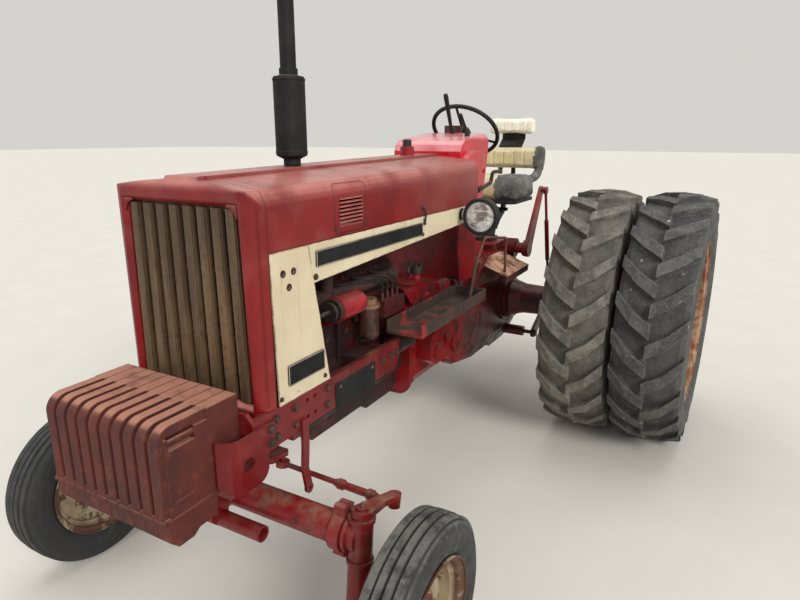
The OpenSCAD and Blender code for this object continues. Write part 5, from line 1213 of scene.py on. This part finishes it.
def make_gauges():
    """Five plain gauges on the cowl's rear face, with bare dials and needles."""
    bezels = Piece("gauge_bezels", "chrome", "bare_steel")
    dials = Piece("gauge_dials", "number", "black_metal")
    needles = Piece("gauge_needles", "cream", "cream_paint")
    out = Vector((0, 0.981, -0.196))
    up = Vector((0, 0.196, 0.981))
    gauges = ((0.0, 0.05, 0.046), (-0.105, 0.055, 0.029), (0.105, 0.055, 0.029), (-0.085, -0.03, 0.024),
              (0.085, -0.03, 0.024))
    for x, rise, r in gauges:
        at = Vector((x, 0.5762, 1.72)) + up * rise
        dials.add(*lathe(at, out, [(r, 0), (r, 0.003)], 32))
        bezel = [(r - 0.003, 0.001), (r - 0.002, 0.007), (r + 0.003, 0.006), (r + 0.005, 0.0)]
        bezels.add(*torus_of(at, out, bezel, 40))
        for k in range(9):
            t = math.radians(-120 + 30 * k)
            way = X * math.sin(t) + up * math.cos(t)
            side = out.cross(way)
            foot = at + out * 0.003 + way * r * 0.74 - side * 0.0008
            needles.add(*slab(foot, way * r * 0.14, side * 0.0016, out * 0.0005))
        way = X * -0.6 + up * 0.8
        side = out.cross(way)
        foot = at + out * 0.0032 - side * 0.0009 - way * r * 0.15
        needles.add(*slab(foot, way * r * 0.8, side * 0.0018, out * 0.0008))
    bezels.make()
    dials.make()
    needles.make()


def make_engine_parts():
    """Core plugs in the block, and the nuts of the head and its cover."""
    plugs = Piece("core_plugs", "block", "red_paint")
    nuts = Piece("engine_nuts", "bolt", "bare_steel")
    plug = [(0.026, 0), (0.026, 0.003), (0.021, 0.0035), (0.018, 0.0015)]
    for s in (-1, 1):
        for k in range(6):
            y = FIRST_BORE_Y + BORE_PITCH * k
            plugs.add(*lathe((s * BLOCK_X, y, 1.05), X * s, plug))
            nuts.add(*hex_bolt((s * COVER_NUT_X, y, 1.302), Z, 0.008))
            nuts.add(*hex_bolt((s * HEAD_NUT_X, y + 0.04, 1.272), X * s + Z, 0.008))
    plugs.make()
    nuts.make()


def make_trim():
    """Bright edges round the blank strips and badge plates, screws of the rails' plates, hood catches."""
    edges = Piece("strip_edges", "chrome", "cream_paint")
    screws = Piece("plate_screws", "steel", "bare_steel")
    catches = Piece("hood_catches", "black", "black_metal")
    edge = 0.004
    knob = [(0.011, 0), (0.011, 0.004), (0.007, 0.008), (0.0, 0.009)]
    hook = ((0.324, -0.482, 1.492), (0.330, -0.484, 1.512), (0.331, -0.492, 1.534), (0.326, -0.498, 1.556))
    for s in (-1, 1):
        face = s * BADGE_X
        for y0, y1, z0, z1 in ((-1.323, -0.51, 1.43, 1.488), (-1.500, -1.296, 1.045, 1.12)):
            for z in (z0, z1 - edge):
                edges.add(*slab((face, y0, z), Y * (y1 - y0), Z * edge, X * s * 0.0015))
            for y in (y0, y1 - edge):
                edges.add(*slab((face, y, z0 + edge), Y * edge, Z * (z1 - z0 - 2 * edge), X * s * 0.0015))
        for y in (-1.20, -0.965):
            screws.add(*hex_bolt((face, y, 0.933), X * s, 0.006, 0.004))
        catches.add(*tube([(s * x, y, z) for x, y, z in hook], 0.004))
        catches.add(*lathe((s * PANEL_X, -0.498, 1.556), X * s, knob, 16))
        catches.add(*slab((s * (PANEL_X + 0.0002), -0.494, 1.474), Y * 0.024, Z * 0.03, X * s * 0.004))
    edges.make()
    screws.make()
    catches.make()


def make_pipes():
    """Steel lines from the injection pump to the head, and from the hydraulic pump down the housing."""
    # The steel lines take the dark rubber finish, partly as painted shade of the engine bay.
    lines = Piece("fuel_lines", "boot", "bare_steel")
    for k in range(4):
        y = -0.67 + k * 0.046
        port = -1.10 + k * 0.146
        line = [(0.201, y, 1.168), (0.203, y, 1.20), (0.196, y - 0.03, 1.235), (0.17, (y + port) / 2, 1.252),
                (0.14, port + 0.01, 1.262), (0.116, port, 1.266)]
        lines.add(*tube(line, 0.0035, 8))
    lines.make()
    hydraulic = Piece("hydraulic_lines", "black", "black_metal")
    for line in (
        [(0.226, 0.012, 1.06), (0.236, 0.05, 1.03), (0.244, 0.07, 0.98), (0.246, 0.075, 0.93),
         (0.25, 0.04, 0.90)],
        [(0.21, 0.012, 1.075), (0.222, 0.08, 1.09), (0.236, 0.14, 1.06), (0.246, 0.2, 1.0),
         (0.246, 0.4, 0.985)],
    ):
        hydraulic.add(*tube(line, 0.008))
    hydraulic.make()


def make_valves():
    """Valve stems in the rear rims."""
    profile = [(0.007, 0), (0.006, 0.02), (0.004, 0.03), (0.004, 0.05), (0.005, 0.052), (0.005, 0.06)]
    for side, s in SIDES:
        stem = Piece("rear_valve_" + side, "boot", "rear_rim", "rear_wheels_" + side)
        foot = Vector((s * OUTER_RIM_X, *REAR_AXLE)) + Vector((s * 0.10, 0.30, 0.318))
        stem.add(*lathe(foot, (s * 0.6, -0.4, -0.42), profile, 12))
        stem.make()


def make_pieces():
    make_bolts()
    make_nipples()
    make_nose_corners()
    make_belt()
    make_fins()
    make_guard()
    make_hoses()
    make_lever_grips()
    make_lamp_parts()
    make_gauges()
    make_engine_parts()
    make_trim()
    make_pipes()
    make_valves()
    for side, s in SIDES:
        nuts = Piece("front_hub_nuts_" + side, "red_bolt", "front_rim", "front_wheel_" + side)
        ring_bolts(nuts, (s * FRONT_HUB_X, *FRONT_AXLE), FRONT_HUB_CIRCLE, 6, 0.011, X * s)
        nuts = Piece("rear_disc_nuts_" + side, "bolt", "bare_steel", "rear_wheels_" + side)
        ring_bolts(nuts, (s * REAR_DISC_X, *REAR_AXLE), REAR_DISC_CIRCLE, 8, 0.015, X * s)
    make_seat()


make_pieces()
